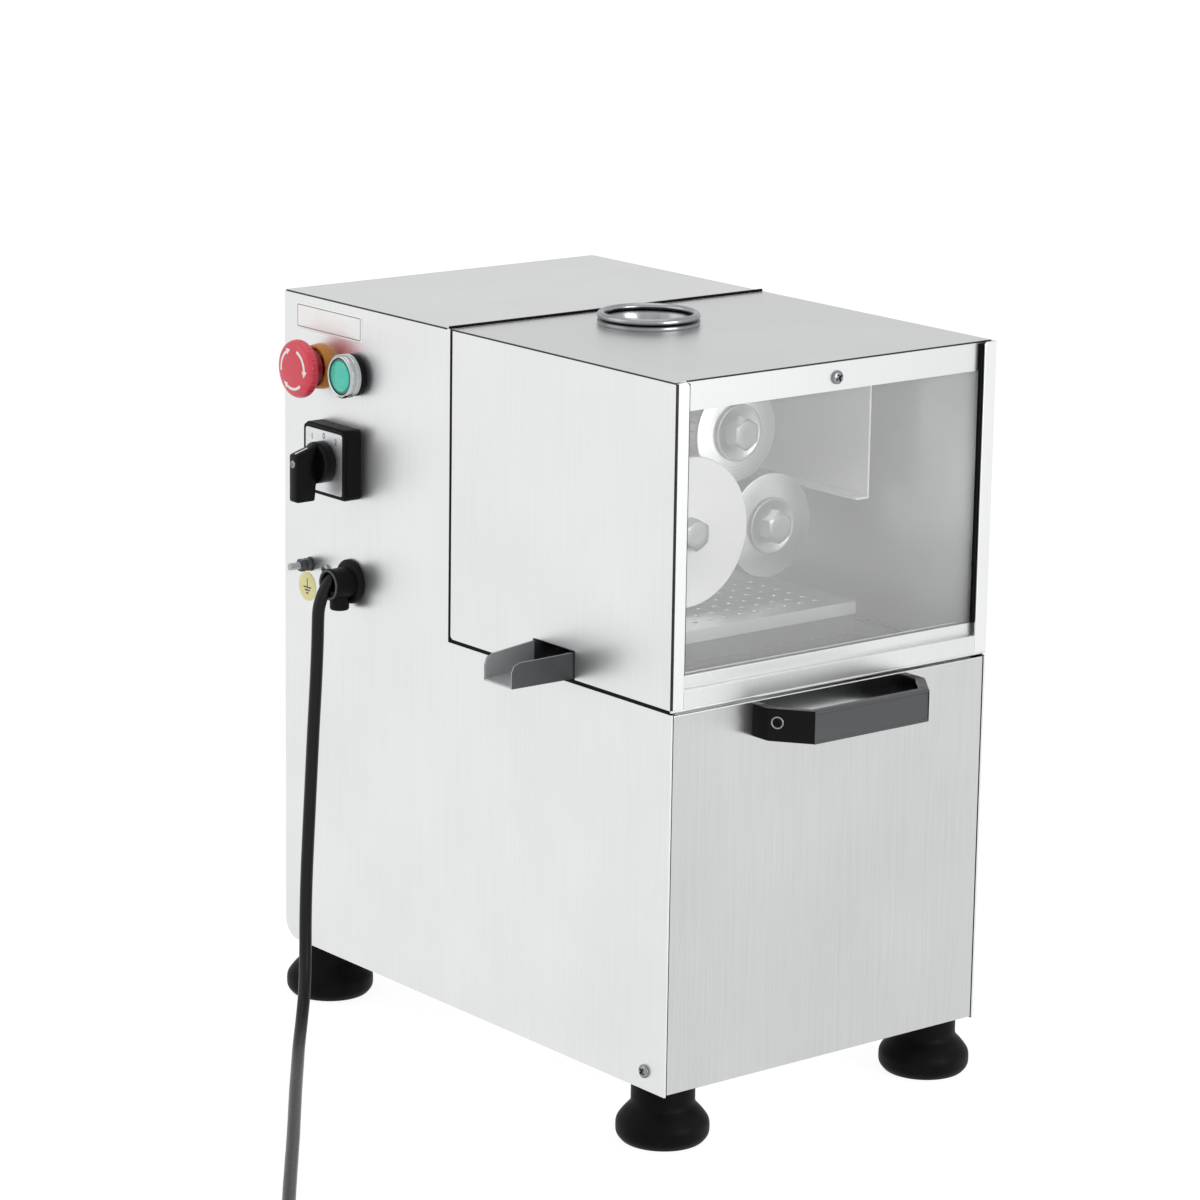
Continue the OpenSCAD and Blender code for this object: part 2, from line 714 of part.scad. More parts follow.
module reducer_case() color("#8b9095") {
    ribs = 5;
    rib_pitch = reducer_d / (ribs + 1.2);
    rib_t = rib_pitch / 4;
    difference() {
        union() {
            rod_y(main_at, reducer_r, y_reducer + 3, y_reducer_back - 3);
            rod_y(main_at, reducer_r - 4, y_reducer, y_reducer_back);
            translate([x_worm, y_worm, z_motor_flange]) cylinder(r = worm_tube_r, h = worm_tube_h);
            translate([x_worm, y_worm, z_motor_flange + worm_tube_h])
                cylinder(r = worm_tube_r - 6, h = 4);
            slab(main_at[0], x_worm, y_worm - worm_tube_r, y_worm + worm_tube_r,
                main_at[1] - 40, main_at[1] + 40);
            translate([x_worm, y_worm, z_motor_flange]) cylinder(r = motor_flange_r, h = motor_flange_t);
            for (i = [1:ribs])
                rod_y(main_at, reducer_r + 2, y_reducer + i * rib_pitch, y_reducer + i * rib_pitch + rib_t);
        }
        rod_y(main_at, shaft_r + run_fit, y_reducer - 1, y_reducer_back + 1);
    }
}

// Closed capacitor motor with cooling ribs, end bell, fan cowl and terminal box
module motor() color("#3c4650") {
    r = motor_d / 2;
    fins = 28;
    motor_len = motor_len_share * (z_motor_flange - z_floor);
    cowl = 40;
    z1 = z_motor_flange;
    z0 = z1 - motor_len;
    box_w = 36;
    translate([x_worm, y_worm, 0]) {
        translate([0, 0, z1 - 8]) cylinder(r = motor_flange_r, h = 8);
        translate([0, 0, z0 + cowl]) cylinder(r = r - 5, h = motor_len - cowl - 4);
        translate([0, 0, z0 + cowl + 10]) linear_extrude(motor_len - cowl - 26) for (i = [0:fins - 1])
            rotate(360 * i / fins) translate([r - 7, -1.5]) square([7, 3]);
        translate([0, 0, z0]) rotate_extrude() polygon([[0, 0], [r - 10, 0], [r - 4, 2], [r - 1, 7],
            [r - 1, cowl + 4], [0, cowl + 4]]);
        translate([r - 12, -box_w / 2, z0 + 70]) cube([36, box_w, 70]);
    }
}

// Contactor that the power and stop buttons switch, on the cabinet floor
module contactor() color("#3a3d40") {
    w = 45;
    d = 0.376 * room_d;
    h = 80;
    x0 = x_left + 18;
    y0 = y_plate2_back + 6;
    slab(x0, x0 + w, y0, y0 + d, z_floor, z_floor + h * 0.62);
    slab(x0, x0 + w, y0 + 16, y0 + d - 16, z_floor, z_floor + h);
    for (i = [0:3]) translate([x0 + 7 + i * 10.4, y0 + 7, z_floor]) cylinder(r = 3.4, h = h * 0.66);
    for (i = [0:3]) translate([x0 + 7 + i * 10.4, y0 + d - 7, z_floor]) cylinder(r = 3.4, h = h * 0.66);
}

// Emergency stop: collar on the panel, contact block behind it, sliding stem and turning head
estop_collar_r = 15.5;
estop_collar_h = 6;
estop_neck_r = 12.4;
estop_stem_r = 6;
estop_under = estop_collar_h + estop_travel + 1;
block_barrel = 20;
block_w = 30;
block_h = 42;
block_d = 36;

module estop_collar() color("#e0932e") on_left(estop_at) difference() {
    cylinder(r1 = estop_collar_r, r2 = estop_collar_r - 1, h = estop_collar_h);
    translate([0, 0, 1]) cylinder(r = estop_neck_r + slide_fit, h = estop_collar_h);
    translate([0, 0, -1]) cylinder(r = estop_stem_r + 1, h = 3);
}

// Barrel and contact block that sit behind a panel hole
module contact_block(bore_r, bore_len) {
    difference() {
        union() {
            translate([0, 0, -block_barrel]) cylinder(r = panel_hole_r - seat_fit, h = block_barrel);
            translate([0, 0, -sheet - 6]) cylinder(r = panel_hole_r + 3, h = 6);
            translate([-block_h / 2, -block_w / 2, -block_barrel - block_d])
                cube([block_h, block_w, block_d]);
            for (sx = [-1, 1])
                translate([sx * block_h * 0.3 - 5, -block_w / 2 - 1.5, -block_barrel - block_d + 5])
                    cube([10, block_w + 3, 8]);
        }
        translate([0, 0, -bore_len]) cylinder(r = bore_r, h = bore_len + 1);
    }
}

module estop_block() color(black) on_left(estop_at) contact_block(estop_stem_r + run_fit, 30);

module estop_stem() color("#7c1a24") on_left(estop_at) {
    translate([0, 0, -22]) cylinder(r = estop_stem_r, h = 22 + estop_under);
    translate([0, 0, estop_under - estop_travel]) cylinder(r = estop_neck_r, h = estop_travel);
    translate([0, 0, estop_under]) cylinder(r = 4, h = 5);
}

module estop_head() color("#c8283c") {
    r = estop_d / 2;
    rim = 7;
    knurls = 40;
    z0 = estop_under;
    on_left(estop_at) difference() {
        union() {
            translate([0, 0, z0]) cylinder(r1 = estop_neck_r, r2 = r - 0.8, h = 3.5);
            translate([0, 0, z0 + 3.5]) linear_extrude(rim - 2) union() {
                circle(r - 0.7);
                for (i = [0:knurls - 1]) rotate(360 * i / knurls) translate([r - 0.8, 0])
                    circle(0.8, $fn = 8);
            }
            translate([0, 0, z0 + rim + 1.5]) rotate_extrude() polygon([[0, 0], [r - 0.7, 0], [r - 1.6, 1.4],
                [r - 4, 2.4], [r - 9, 3], [0, 3.3]]);
        }
        translate([0, 0, z0 - 1]) cylinder(r = 4 + run_fit, h = 6 + run_fit);
    }
}

// Power button: black barrel, chrome bezel and green lens
bezel_r = bezel_d / 2;
lens_r = bezel_r - 2.9;
bezel_base = 5;
bezel_h = 13;

module button_block() color(black) on_left(button_at) {
    contact_block(4.5 + run_fit, 30);
    difference() {
        cylinder(r = bezel_r - 0.6, h = bezel_base);
        translate([0, 0, 1]) cylinder(r = lens_r + slide_fit, h = bezel_base);
        translate([0, 0, -1]) cylinder(r = 4.5 + run_fit, h = 3);
    }
}

module button_bezel() color("#d7d9da") {
    h = bezel_h - bezel_base;
    on_left(button_at) translate([0, 0, bezel_base]) rotate_extrude() polygon([
        [lens_r + slide_fit, 0], [bezel_r, 0], [bezel_r, 2.6], [bezel_r - 0.5, 3], [bezel_r, 3.4],
        [bezel_r, h - 1.4], [bezel_r - 0.5, h - 0.4], [bezel_r - 1.4, h], [lens_r + slide_fit, h - 0.6]]);
}

module power_button() color("#2fbf9b") on_left(button_at) {
    z0 = 1 + button_travel + 0.5;
    translate([0, 0, -22]) cylinder(r = 4.5, h = 22 + z0 + 1);
    translate([0, 0, z0]) rotate_extrude() polygon([[0, 0], [lens_r, 0], [lens_r, bezel_h - z0 - 1.6],
        [lens_r - 1, bezel_h - z0 - 0.9], [lens_r - 4, bezel_h - z0 - 0.5], [0, bezel_h - z0 - 0.2]]);
}

// Selector switch: square frame, face plate, cam body behind the panel and the turning knob
knob_stem_r = 4;
knob_collar_r = 14;
plate_lay = 0.6;

module switch_frame() color(black) on_left(switch_at) difference() {
    union() {
        linear_extrude(switch_t - 2) round_rect(switch_size, switch_size, 4);
        translate([0, 0, switch_t - 2]) linear_extrude(2)
            round_rect(switch_size - 1.6, switch_size - 1.6, 3.6);
    }
    translate([0, 0, switch_t - plate_lay]) linear_extrude(2)
        round_rect(switch_size - 6, switch_size - 6, 2);
    translate([0, 0, -1]) cylinder(r = knob_stem_r + run_fit, h = switch_t + 2);
}

module switch_plate() color("#dfe1e3") {
    side = switch_size - 6 - 2 * seat_fit;
    on_left(switch_at) translate([0, 0, switch_t - plate_lay]) linear_extrude(plate_lay) difference() {
        round_rect(side, side, 2);
        circle(knob_stem_r + 1);
    }
}

module switch_body() color("#2a2a2c") {
    cams = 4;
    cam_size = switch_size - 6;
    cam_pitch = 12;
    on_left(switch_at) difference() {
        union() {
            translate([0, 0, -sheet - 4]) cylinder(r = panel_hole_r - seat_fit, h = sheet + 4);
            for (i = [0:cams - 1]) translate([0, 0, -sheet - 2 - (i + 1) * cam_pitch])
                linear_extrude(cam_pitch - 0.6) round_rect(cam_size, cam_size, 5);
            translate([0, 0, -sheet - cam_pitch * cams - 2]) cylinder(r = 18, h = cam_pitch * cams);
        }
        translate([0, 0, -sheet - 30]) cylinder(r = knob_stem_r + run_fit, h = 40);
    }
}

module selector_knob() color(black) {
    z0 = switch_t + slide_fit;
    z1 = switch_t + knob_out;
    blade_t = 8.5;
    collar_h = 8;
    on_left(switch_at) {
        translate([0, 0, -20]) cylinder(r = knob_stem_r, h = 20 + z0 + 2);
        translate([0, 0, z0]) cylinder(r = knob_collar_r, h = collar_h - 1);
        translate([0, 0, z0 + collar_h - 1]) cylinder(r1 = knob_collar_r, r2 = knob_collar_r - 1, h = 1);
        translate([0, blade_t / 2, 0]) rotate([90, 0, 0]) linear_extrude(blade_t) polygon([
            [13.5, z0 + collar_h - 1], [11, z0 + collar_h + 4], [7.5, z1 - 1], [6.5, z1], [-24, z1],
            [-25, z1 - 1], [-25, z1 - 15], [-13.5, z1 - 16], [-13.5, z0 + collar_h - 1]]);
    }
}

// Earth stud with its washer and two nuts, clamped through the panel
module earth_stud() color(steel) on_left(stud_at) {
    translate([0, 0, -10]) cylinder(r = stud_d / 2, h = 28);
    cylinder(r = stud_d / 2 + 2.4, h = 1);
    translate([0, 0, 1]) cylinder(r = stud_d * 0.92, h = 4, $fn = 6);
    translate([0, 0, 5.6]) cylinder(r = stud_d * 0.92, h = 4, $fn = 6);
    translate([0, 0, -sheet - 4]) cylinder(r = stud_d * 0.92, h = 4, $fn = 6);
}

// Cable gland: flange, open-mouthed barrel for the lead, clamp boss below and a locknut inside
gland_thread_r = 10;
gland_barrel_r = 10.3;
gland_mouth_r = 8.8;
gland_out = 19;
gland_floor = 12.2;

module cable_gland() color(black) on_left(gland_at) difference() {
    union() {
        translate([0, 0, -14]) cylinder(r = gland_thread_r, h = 15);
        translate([0, 0, -sheet - 5]) cylinder(r = gland_thread_r + 4, h = 5, $fn = 6);
        cylinder(r = 15, h = 2.5);
        translate([0, 0, 2.5]) cylinder(r1 = 15, r2 = 12.5, h = 1.5);
        cylinder(r = gland_barrel_r, h = gland_out - 1);
        translate([0, 0, gland_out - 2]) cylinder(r = gland_barrel_r + 0.5, h = 2);
        translate([-18, 0, 10]) rotate([0, 90, 0]) cylinder(r1 = 6, r2 = 6.8, h = 12);
    }
    translate([0, 0, gland_floor]) cylinder(r = gland_mouth_r, h = gland_out);
}

// Plastic runners under the drawer, screwed to the floor
module drawer_runners() color("#d9d6cc") {
    inset = foot_inset_x + foot_stud_r + 4;
    for (x = [x_left + inset, x_right - inset - runner_w])
        slab(x, x + runner_w, y_front + drawer_front_d + 4, y_partition - 2, z_floor, z_floor + runner_h);
}

// Involute gear outline, with a tooth centred on the given angle
function involute(r, base) = let (a = acos(base / r)) tan(a) * 180 / PI - a;
function polar(r, a) = [r * cos(a), r * sin(a)];
pressure = 20;
backlash = 0.3;
pitch_r = centre / 2;
base_r = pitch_r * cos(pressure);
gear_tip_r = pitch_r + 0.93 * gear_m;
gear_root_r = pitch_r - 1.25 * gear_m;
tooth_half = 90 / gear_teeth - backlash / (2 * pitch_r) * 180 / PI;
flank_steps = 5;
flank_r = [for (i = [0:flank_steps]) base_r + (gear_tip_r - base_r) * i / flank_steps];
function flank_angle(r) = tooth_half + involute(pitch_r, base_r) - involute(r, base_r);

module gear_outline(at, phase) {
    points = [for (t = [0:gear_teeth - 1]) let (a = phase + 360 * t / gear_teeth)
        each concat([polar(gear_root_r, a - flank_angle(base_r))],
            [for (r = flank_r) polar(r, a - flank_angle(r))],
            [for (i = [flank_steps:-1:0]) polar(flank_r[i], a + flank_angle(flank_r[i]))],
            [polar(gear_root_r, a + flank_angle(base_r))])];
    translate(at) difference() {
        polygon(points);
        circle(shaft_r + seat_fit);
        translate([-key_w / 2 - seat_fit, 0]) square([key_w + 2 * seat_fit, shaft_r + key_out + seat_fit]);
    }
}

// Phase of a gear that meshes with the main one in the given direction
main_phase = upper_angle;
function mesh_phase(direction) = direction + 180 + 180 / gear_teeth - (main_phase - direction);
gear_y0 = y_bay + gear_side_gap;
gear_y1 = y_plate2 - gear_side_gap;
gear_mid = (gear_y0 + gear_y1) / 2;

// Fluted roller with a plain rim in front, a bore and a keyway
roller_rim = 3;
rim_step = 0.3;         // the rim lies this far below the lands

module roller(at, r, y0) {
    land = 0.3;
    step = 360 / flutes;
    points = [for (i = [0:flutes - 1]) each [polar(r, (i - land) * step), polar(r, (i + land) * step),
        polar(r - flute_depth, (i + 0.5) * step)]];
    along_y(y0, y_roller_back) translate(at) difference() {
        polygon(points);
        roller_bore();
    }
    along_y(y0, y0 + roller_rim) translate(at) difference() {
        circle(r - rim_step);
        roller_bore();
    }
}

module roller_bore() {
    circle(shaft_r + seat_fit);
    translate([-key_w / 2 - seat_fit, 0]) square([key_w + 2 * seat_fit, shaft_r + key_out + seat_fit]);
}

// Shaft with a key under the roller and one under the gear, tapped in front for the roller's bolt
bolt_r = 6;
bolt_len = 30;
shaft_setback = 3;

module roller_shaft(at, y0, y1, key_y0, key_y1) {
    difference() {
        union() {
            rod_y(at, shaft_r, y0 + shaft_setback, y1);
            translate([at[0], 0, at[1]]) {
                slab(-key_w / 2, key_w / 2, y0 + 8, y_roller_back - 8, 0, shaft_r + key_out);
                slab(-key_w / 2, key_w / 2, key_y0 + 1, key_y1 - 1, 0, shaft_r + key_out);
            }
        }
        rod_y(at, bolt_r + seat_fit, y0, y0 + bolt_len + 2);
    }
}

module roller_bolt(at, y0) {
    head_h = 8;
    rod_y(at, bolt_r, y0 - 1, y0 + bolt_len);
    difference() {
        along_y(y0 - head_h, y0) translate(at) circle(bolt_af / 2 / cos(30), $fn = 6);
        translate([at[0], y0 - head_h, at[1]]) rotate([90, 0, 0]) difference() {
            translate([0, 0, -2]) cylinder(r = bolt_af, h = 3);
            translate([0, 0, -4]) cylinder(r1 = bolt_af / 2 + 4.2, r2 = bolt_af / 2 - 1.2, h = 5);
        }
    }
}

washer_r = 19;
washer_t = 3;

module washer(at, y0) {
    along_y(y0 - washer_t, y0) translate(at) difference() {
        circle(washer_r);
        circle(bolt_r + seat_fit);
    }
}

module main_shaft() color(steel) {
    roller_shaft(main_at, y_roller_front, y_reducer_back + 4, gear_y0, gear_y1);
}

module upper_shaft() color(steel) {
    roller_shaft(upper_at, y_small_front, y_plate2_back + 4, gear_y0, gear_mid - 1);
}

module lower_shaft() color(steel) {
    roller_shaft(lower_at, y_small_front, y_plate2_back + 4, gear_mid + 1, gear_y1);
}

module main_roller() color(bright) roller(main_at, main_r, y_roller_front);
module upper_roller() color(bright) roller(upper_at, upper_r, y_small_front);
module lower_roller() color(bright) roller(lower_at, lower_r, y_small_front);

// Slightly dished disc that keeps the cane on the main roller
module main_flange() color(bright) {
    y0 = y_roller_front - flange_t;
    difference() {
        union() {
            rod_y(main_at, flange_r, y0, y_roller_front);
            translate([main_at[0], y0, main_at[1]]) rotate([90, 0, 0])
                cylinder(r1 = bolt_af, r2 = bolt_af * 0.75, h = 2);
        }
        rod_y(main_at, bolt_r + seat_fit, y0 - 3, y_roller_front + 1);
    }
}

module main_gear() color(iron) along_y(gear_y0, gear_y1) gear_outline(main_at, main_phase);
module upper_gear() color(iron) {
    along_y(gear_y0, gear_mid - 1) gear_outline(upper_at, mesh_phase(upper_angle));
}

module lower_gear() color(iron) {
    along_y(gear_mid + 1, gear_y1) gear_outline(lower_at, mesh_phase(lower_angle));
}

module main_bolt() color(steel) roller_bolt(main_at, y_roller_front - flange_t - 2);
module upper_bolt() color(steel) {
    roller_bolt(upper_at, y_small_front - washer_t);
    washer(upper_at, y_small_front);
}
module lower_bolt() color(steel) {
    roller_bolt(lower_at, y_small_front - washer_t);
    washer(lower_at, y_small_front);
}

// Drawer front: a folded pan that lies flush between the side panels
module drawer_front() color(bright) {
    x0 = x_left + sheet + front_side_gap;
    x1 = x_right - sheet - front_side_gap;
    z0 = z_body + 1;
    z1 = z_drawer_top;
    difference() {
        slab(x0, x1, y_front, y_front + drawer_front_d, z0, z1);
        slab(x0 + sheet, x1 - sheet, y_front + sheet, y_front + drawer_front_d + 1, z0 + sheet, z1 - sheet);
    }
}

// Open-topped residue bin behind the drawer front
bin_x0 = x_left + sheet + 6;
bin_x1 = x_right - sheet - 6;
bin_y0 = y_front + sheet;
bin_y1 = y_partition - 4;

module residue_bin() color(steel) {
    difference() {
        slab(bin_x0, bin_x1, bin_y0, bin_y1, z_bin, z_bin + bin_h);
        slab(bin_x0 + bin_wall, bin_x1 - bin_wall, bin_y0 + bin_wall, bin_y1 - bin_wall,
            z_bin + bin_wall, z_bin + bin_h + 1);
    }
}

// Bow handle: plastic end pieces with a straight leg and a chamfer, and a flat bar between them
handle_leg = 14;
handle_chamfer = 18.5;
handle_bar_half = handle_len / 2 - handle_chamfer;

module handle_end() {
    half = handle_len / 2;
    slope = atan2(handle_out - handle_leg, handle_chamfer);
    cut = handle_t * tan(slope / 2);
    cut_leg = handle_t * tan((90 - slope) / 2);
    points = [[half, 0], [half, handle_leg], [handle_bar_half, handle_out],
        [handle_bar_half, handle_out - handle_t], [handle_bar_half - cut, handle_out - handle_t],
        [half - handle_t, handle_leg - cut_leg], [half - handle_t, 0]];
    translate([off_x, y_front, handle_z - handle_h / 2]) mirror([0, 1, 0])
        linear_extrude(handle_h) polygon(points);
}

module handle_ends() color(black) {
    handle_end();
    translate([2 * off_x, 0, 0]) mirror([1, 0, 0]) handle_end();
}

module handle_bar() color("#2b2b2d") {
    slab(off_x - handle_bar_half, off_x + handle_bar_half,
        y_front - handle_out, y_front - handle_out + handle_t,
        handle_z - handle_h / 2, handle_z + handle_h / 2);
}

// Mains lead: bends down out of the gland, lies on the floor and is wound up for storage
cord_r = cord_d / 2;
lay_z = 4.6;            // height of the lead's middle where it lies on the floor
lead_dir = [-0.588, -0.809, 0];
bend_r = 34;
bend_from = 40;         // the lead's slope in the gland's mouth, in degrees
bend_start = [15.3, 4.4];
function lead_at(out, up) = [x_left - out, gland_at[0], gland_at[1] + up];
lead_bend = [for (a = [bend_from:8:80]) lead_at(bend_start[0] + bend_r * (sin(a) - sin(bend_from)),
    bend_start[1] - bend_r * (cos(bend_from) - cos(a)))];
cord_route = concat(lead_bend, [lead_at(27.5, -22), lead_at(28, -40), [-144.8, 146, 240],
    [-147, 146, 205], [-149, 146, 170], [-151, 146, 135], [-152.5, 146, 105],
    [-154, 145, 78], [-157, 141, 53], [-164, 132, 32], [-176, 118, 17], [-193, 97, 8],
    [-212, 71.5, lay_z], [-238, 36, lay_z], [-264, 0, lay_z], [-290, -36, lay_z], [-316, -71.5, lay_z],
    [-342, -107, lay_z], [-368, -143, lay_z], [-394, -179, lay_z], [-416, -209, lay_z]]);
cord_sides = 8;

// Point on the smooth curve through a list of points, at a place counted in points
function route_at(p, t) = let (n = len(p), i = min(floor(t), n - 2), f = t - i,
    a = p[max(i - 1, 0)], b = p[i], c = p[i + 1], d = p[min(i + 2, n - 1)])
    0.5 * (2 * b + (c - a) * f + (2 * a - 5 * b + 4 * c - d) * f * f + (3 * b - a - 3 * c + d) * f * f * f);
function unit(v) = v / norm(v);

// Closed tube along points: rings of triangles, turned from one fixed direction, and fans at the ends
module tube(points, r, sides, side_of) {
    n = len(points);
    ahead = [for (i = [0:n - 1]) unit(points[min(i + 1, n - 1)] - points[max(i - 1, 0)])];
    rings = [for (i = [0:n - 1]) let (u = unit(cross(side_of, ahead[i])), w = cross(ahead[i], u))
        each [for (k = [0:sides - 1]) let (a = 360 * k / sides) points[i] + r * (u * cos(a) + w * sin(a))]];
    wall = [for (i = [0:n - 2], k = [0:sides - 1]) let (a = i * sides + k, b = i * sides + (k + 1) % sides)
        each [[a, a + sides, b], [b, a + sides, b + sides]]];
    ends = [for (k = [1:sides - 2]) each [[0, k, k + 1],
        [(n - 1) * sides, (n - 1) * sides + k + 1, (n - 1) * sides + k]]];
    polyhedron(rings, concat(wall, ends));
}

module cord_run() color(black) {
    steps = 2;
    n = (len(cord_route) - 1) * steps;
    tube([for (i = [0:n]) route_at(cord_route, i / steps)], cord_r, cord_sides,
        [lead_dir[1], -lead_dir[0], 0]);
}

// Stored coil: two layers, spiralling in below and out again above, with the climb where it reverses
coil_turns = 4;
coil_step = 9.2;        // from turn to turn and from layer to layer
coil_inner_r = 36;
coil_rings = 24;
coil_sides = 6;
coil_lift = 1.2;        // room for the tie under the coil
coil_outer_r = coil_inner_r + coil_step * coil_turns / 2;
coil_start = cord_route[len(cord_route) - 1];
coil_angle = atan2(lead_dir[1], lead_dir[0]) - 90;
coil_centre = coil_start - coil_outer_r * [cos(coil_angle), sin(coil_angle), 0];
function ease(t) = let (c = min(max(t, 0), 1)) c * c * (3 - 2 * c);
function coil_at(turn) = let (r = coil_inner_r + coil_step * abs(turn - coil_turns / 2),
    a = coil_angle + 360 * turn, climb = ease((turn - coil_turns / 2) * 2 + 0.5))
    coil_centre + [r * cos(a), r * sin(a), coil_step * climb + coil_lift * ease(4 * turn)];
coil_tail = 27;
coil_end = coil_at(coil_turns) + coil_tail * lead_dir;
coil_points = concat([coil_start], [for (i = [1:coil_turns * coil_rings]) coil_at(i / coil_rings)],
    [for (f = [0.25, 0.6, 1]) coil_at(coil_turns) + f * coil_tail * lead_dir]);
coil_gap = min([for (i = [0:len(coil_points) - 1], j = [i + 8:1:len(coil_points) - 1])
    norm(coil_points[i] - coil_points[j])]) - cord_d;
echo(coil_gap = coil_gap);

module cord_coil() color(black) {
    tube(coil_points, cord_r, coil_sides, [0, 0, 1]);
}

// Moulded three-pin plug with a tapered neck, lying on the floor beside the coil
module mains_plug() color(black) {
    neck = 20;
    body = 32;
    body_z = 29;
    body_y = 31;
    translate(coil_end) rotate([0, 0, atan2(lead_dir[1], lead_dir[0])]) rotate([0, 90, 0]) {
        cylinder(r1 = cord_r + 1, r2 = 8.5, h = neck);
        translate([0, 0, neck]) linear_extrude(body) round_rect(body_z, body_y, 8);
        for (s = [-1, 1]) translate([-4 - 3.15, s * 6.35 - 0.75, neck + body]) cube([6.3, 1.5, 17]);
        translate([7.5, 0, neck + body]) cylinder(r = 2.4, h = 20);
    }
}

base_pan();
left_side_panel();
right_side_panel();
rear_cover();
partition();
hood_left_side();
hood_right_side();
hood_top();
hood_sill();
window_pane();
hood_gasket();
case_screws();
feed_collar();
juice_tray();
strainer_plate();
splash_guide();
rubber_feet();
front_bearing_plate();
rear_bearing_plate();
plate_spacers();
bearing_bushes();
shaft_seals();
press_stand();
reducer_case();
motor();
contactor();
estop_collar();
estop_block();
button_bezel();
button_block();
switch_frame();
switch_plate();
switch_body();
earth_stud();
cable_gland();
drawer_runners();
main_shaft();
main_roller();
main_flange();
main_gear();
main_bolt();
upper_shaft();
upper_roller();
upper_gear();
upper_bolt();
lower_shaft();
lower_roller();
lower_gear();
lower_bolt();
drawer_front();
residue_bin();
handle_bar();
handle_ends();
estop_stem();
estop_head();
power_button();
selector_knob();
cord_run();
cord_coil();
mains_plug();
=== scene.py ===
"""Looks of the table-top cane press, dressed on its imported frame. The press's sizes are in mm."""

import bmesh
import bpy
import numpy as np
from mathutils import Matrix


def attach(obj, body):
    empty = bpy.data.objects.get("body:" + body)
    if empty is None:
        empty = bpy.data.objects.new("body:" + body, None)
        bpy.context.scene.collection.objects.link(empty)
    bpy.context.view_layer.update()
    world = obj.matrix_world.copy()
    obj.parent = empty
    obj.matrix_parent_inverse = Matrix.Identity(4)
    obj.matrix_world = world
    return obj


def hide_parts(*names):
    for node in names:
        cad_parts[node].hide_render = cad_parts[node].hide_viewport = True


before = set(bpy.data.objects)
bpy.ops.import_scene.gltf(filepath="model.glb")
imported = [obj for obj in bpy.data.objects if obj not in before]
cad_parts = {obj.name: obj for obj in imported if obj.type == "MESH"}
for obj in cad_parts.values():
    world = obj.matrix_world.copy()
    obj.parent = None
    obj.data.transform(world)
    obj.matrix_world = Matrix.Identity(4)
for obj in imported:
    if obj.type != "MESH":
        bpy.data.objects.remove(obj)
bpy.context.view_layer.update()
scene = bpy.context.scene
scene.view_settings.view_transform = "Standard"

# Studio. A wide pale floor and white surroundings that shade off towards the back right and upwards, with
# soft lamps behind the left side, overhead and in front. The camera has the photograph's place and lens.


def linear(code):
    """Linear RGBA of an sRGB hex code: c / 12.92 where dark, else ((c + 0.055) / 1.055) ** 2.4."""
    c = np.array([int(code[i:i + 2], 16) for i in (1, 3, 5)]) / 255
    rgb = np.where(c <= 0.04045, c / 12.92, ((c + 0.055) / 1.055) ** 2.4)
    return (*rgb.tolist(), 1.0)


def feed(node, inputs):
    """Fills a node's sockets: a number or colour is set on the socket, and an output is linked to it. A
    node given as an input stands for its first live output."""
    for key, value in inputs.items():
        if isinstance(value, bpy.types.Node):
            value = next(output for output in value.outputs if output.enabled)
        if isinstance(value, bpy.types.NodeSocket):
            node.id_data.links.new(value, node.inputs[key])
        else:
            node.inputs[key].default_value = value


def add_node(tree, kind, inputs=None, **settings):
    """One shader node: settings are its own properties, and inputs fill its sockets."""
    made = tree.nodes.new("ShaderNode" + kind)
    for key, value in settings.items():
        setattr(made, key, value)
    feed(made, inputs or {})
    return made


def noise(tree, spot, count, detail):
    """Soft noise, count grains to a metre."""
    return add_node(tree, "TexNoise", {"Vector": spot, "Scale": count, "Detail": detail})


def remap(tree, value, old, new=(0.0, 1.0)):
    """A value moved from the span old to the span new, and held at its ends."""
    return add_node(tree, "MapRange", {
        "Value": value, "From Min": old[0], "From Max": old[1], "To Min": new[0], "To Max": new[1]})


def blend(tree, share, a, b):
    """A colour between a and b, by share."""
    return add_node(tree, "Mix", {"Factor": share, "A": a, "B": b}, data_type="RGBA")


def unit(v):
    """Vectors of length one along the last axis."""
    return v / np.linalg.norm(v, axis=-1, keepdims=True)


world = bpy.data.worlds.new("white_studio")
scene.world = world
world.use_nodes = True
tree = world.node_tree
tree.nodes.clear()
rays = add_node(tree, "LightPath")
place = add_node(tree, "TexCoord")
upper_back = add_node(tree, "VectorMath", {
    0: place.outputs["Generated"], 1: (0.5, 0.5, 0.7)}, operation="DOT_PRODUCT")
shade = remap(tree, upper_back.outputs["Value"], (-0.1, 0.9), (1.0, 0.8))
seen = add_node(tree, "Math", {
    0: rays.outputs["Is Camera Ray"], 1: rays.outputs["Is Transmission Ray"]},
    operation="ADD", use_clamp=True)
soft = add_node(tree, "Mix", {"Factor": rays.outputs["Is Glossy Ray"], "A": 0.7, "B": shade})
level = add_node(tree, "Mix", {"Factor": seen, "A": soft, "B": 1.0})
sky = add_node(tree, "Background", {"Color": (1, 1, 1, 1), "Strength": level})
add_node(tree, "OutputWorld", {"Surface": sky})

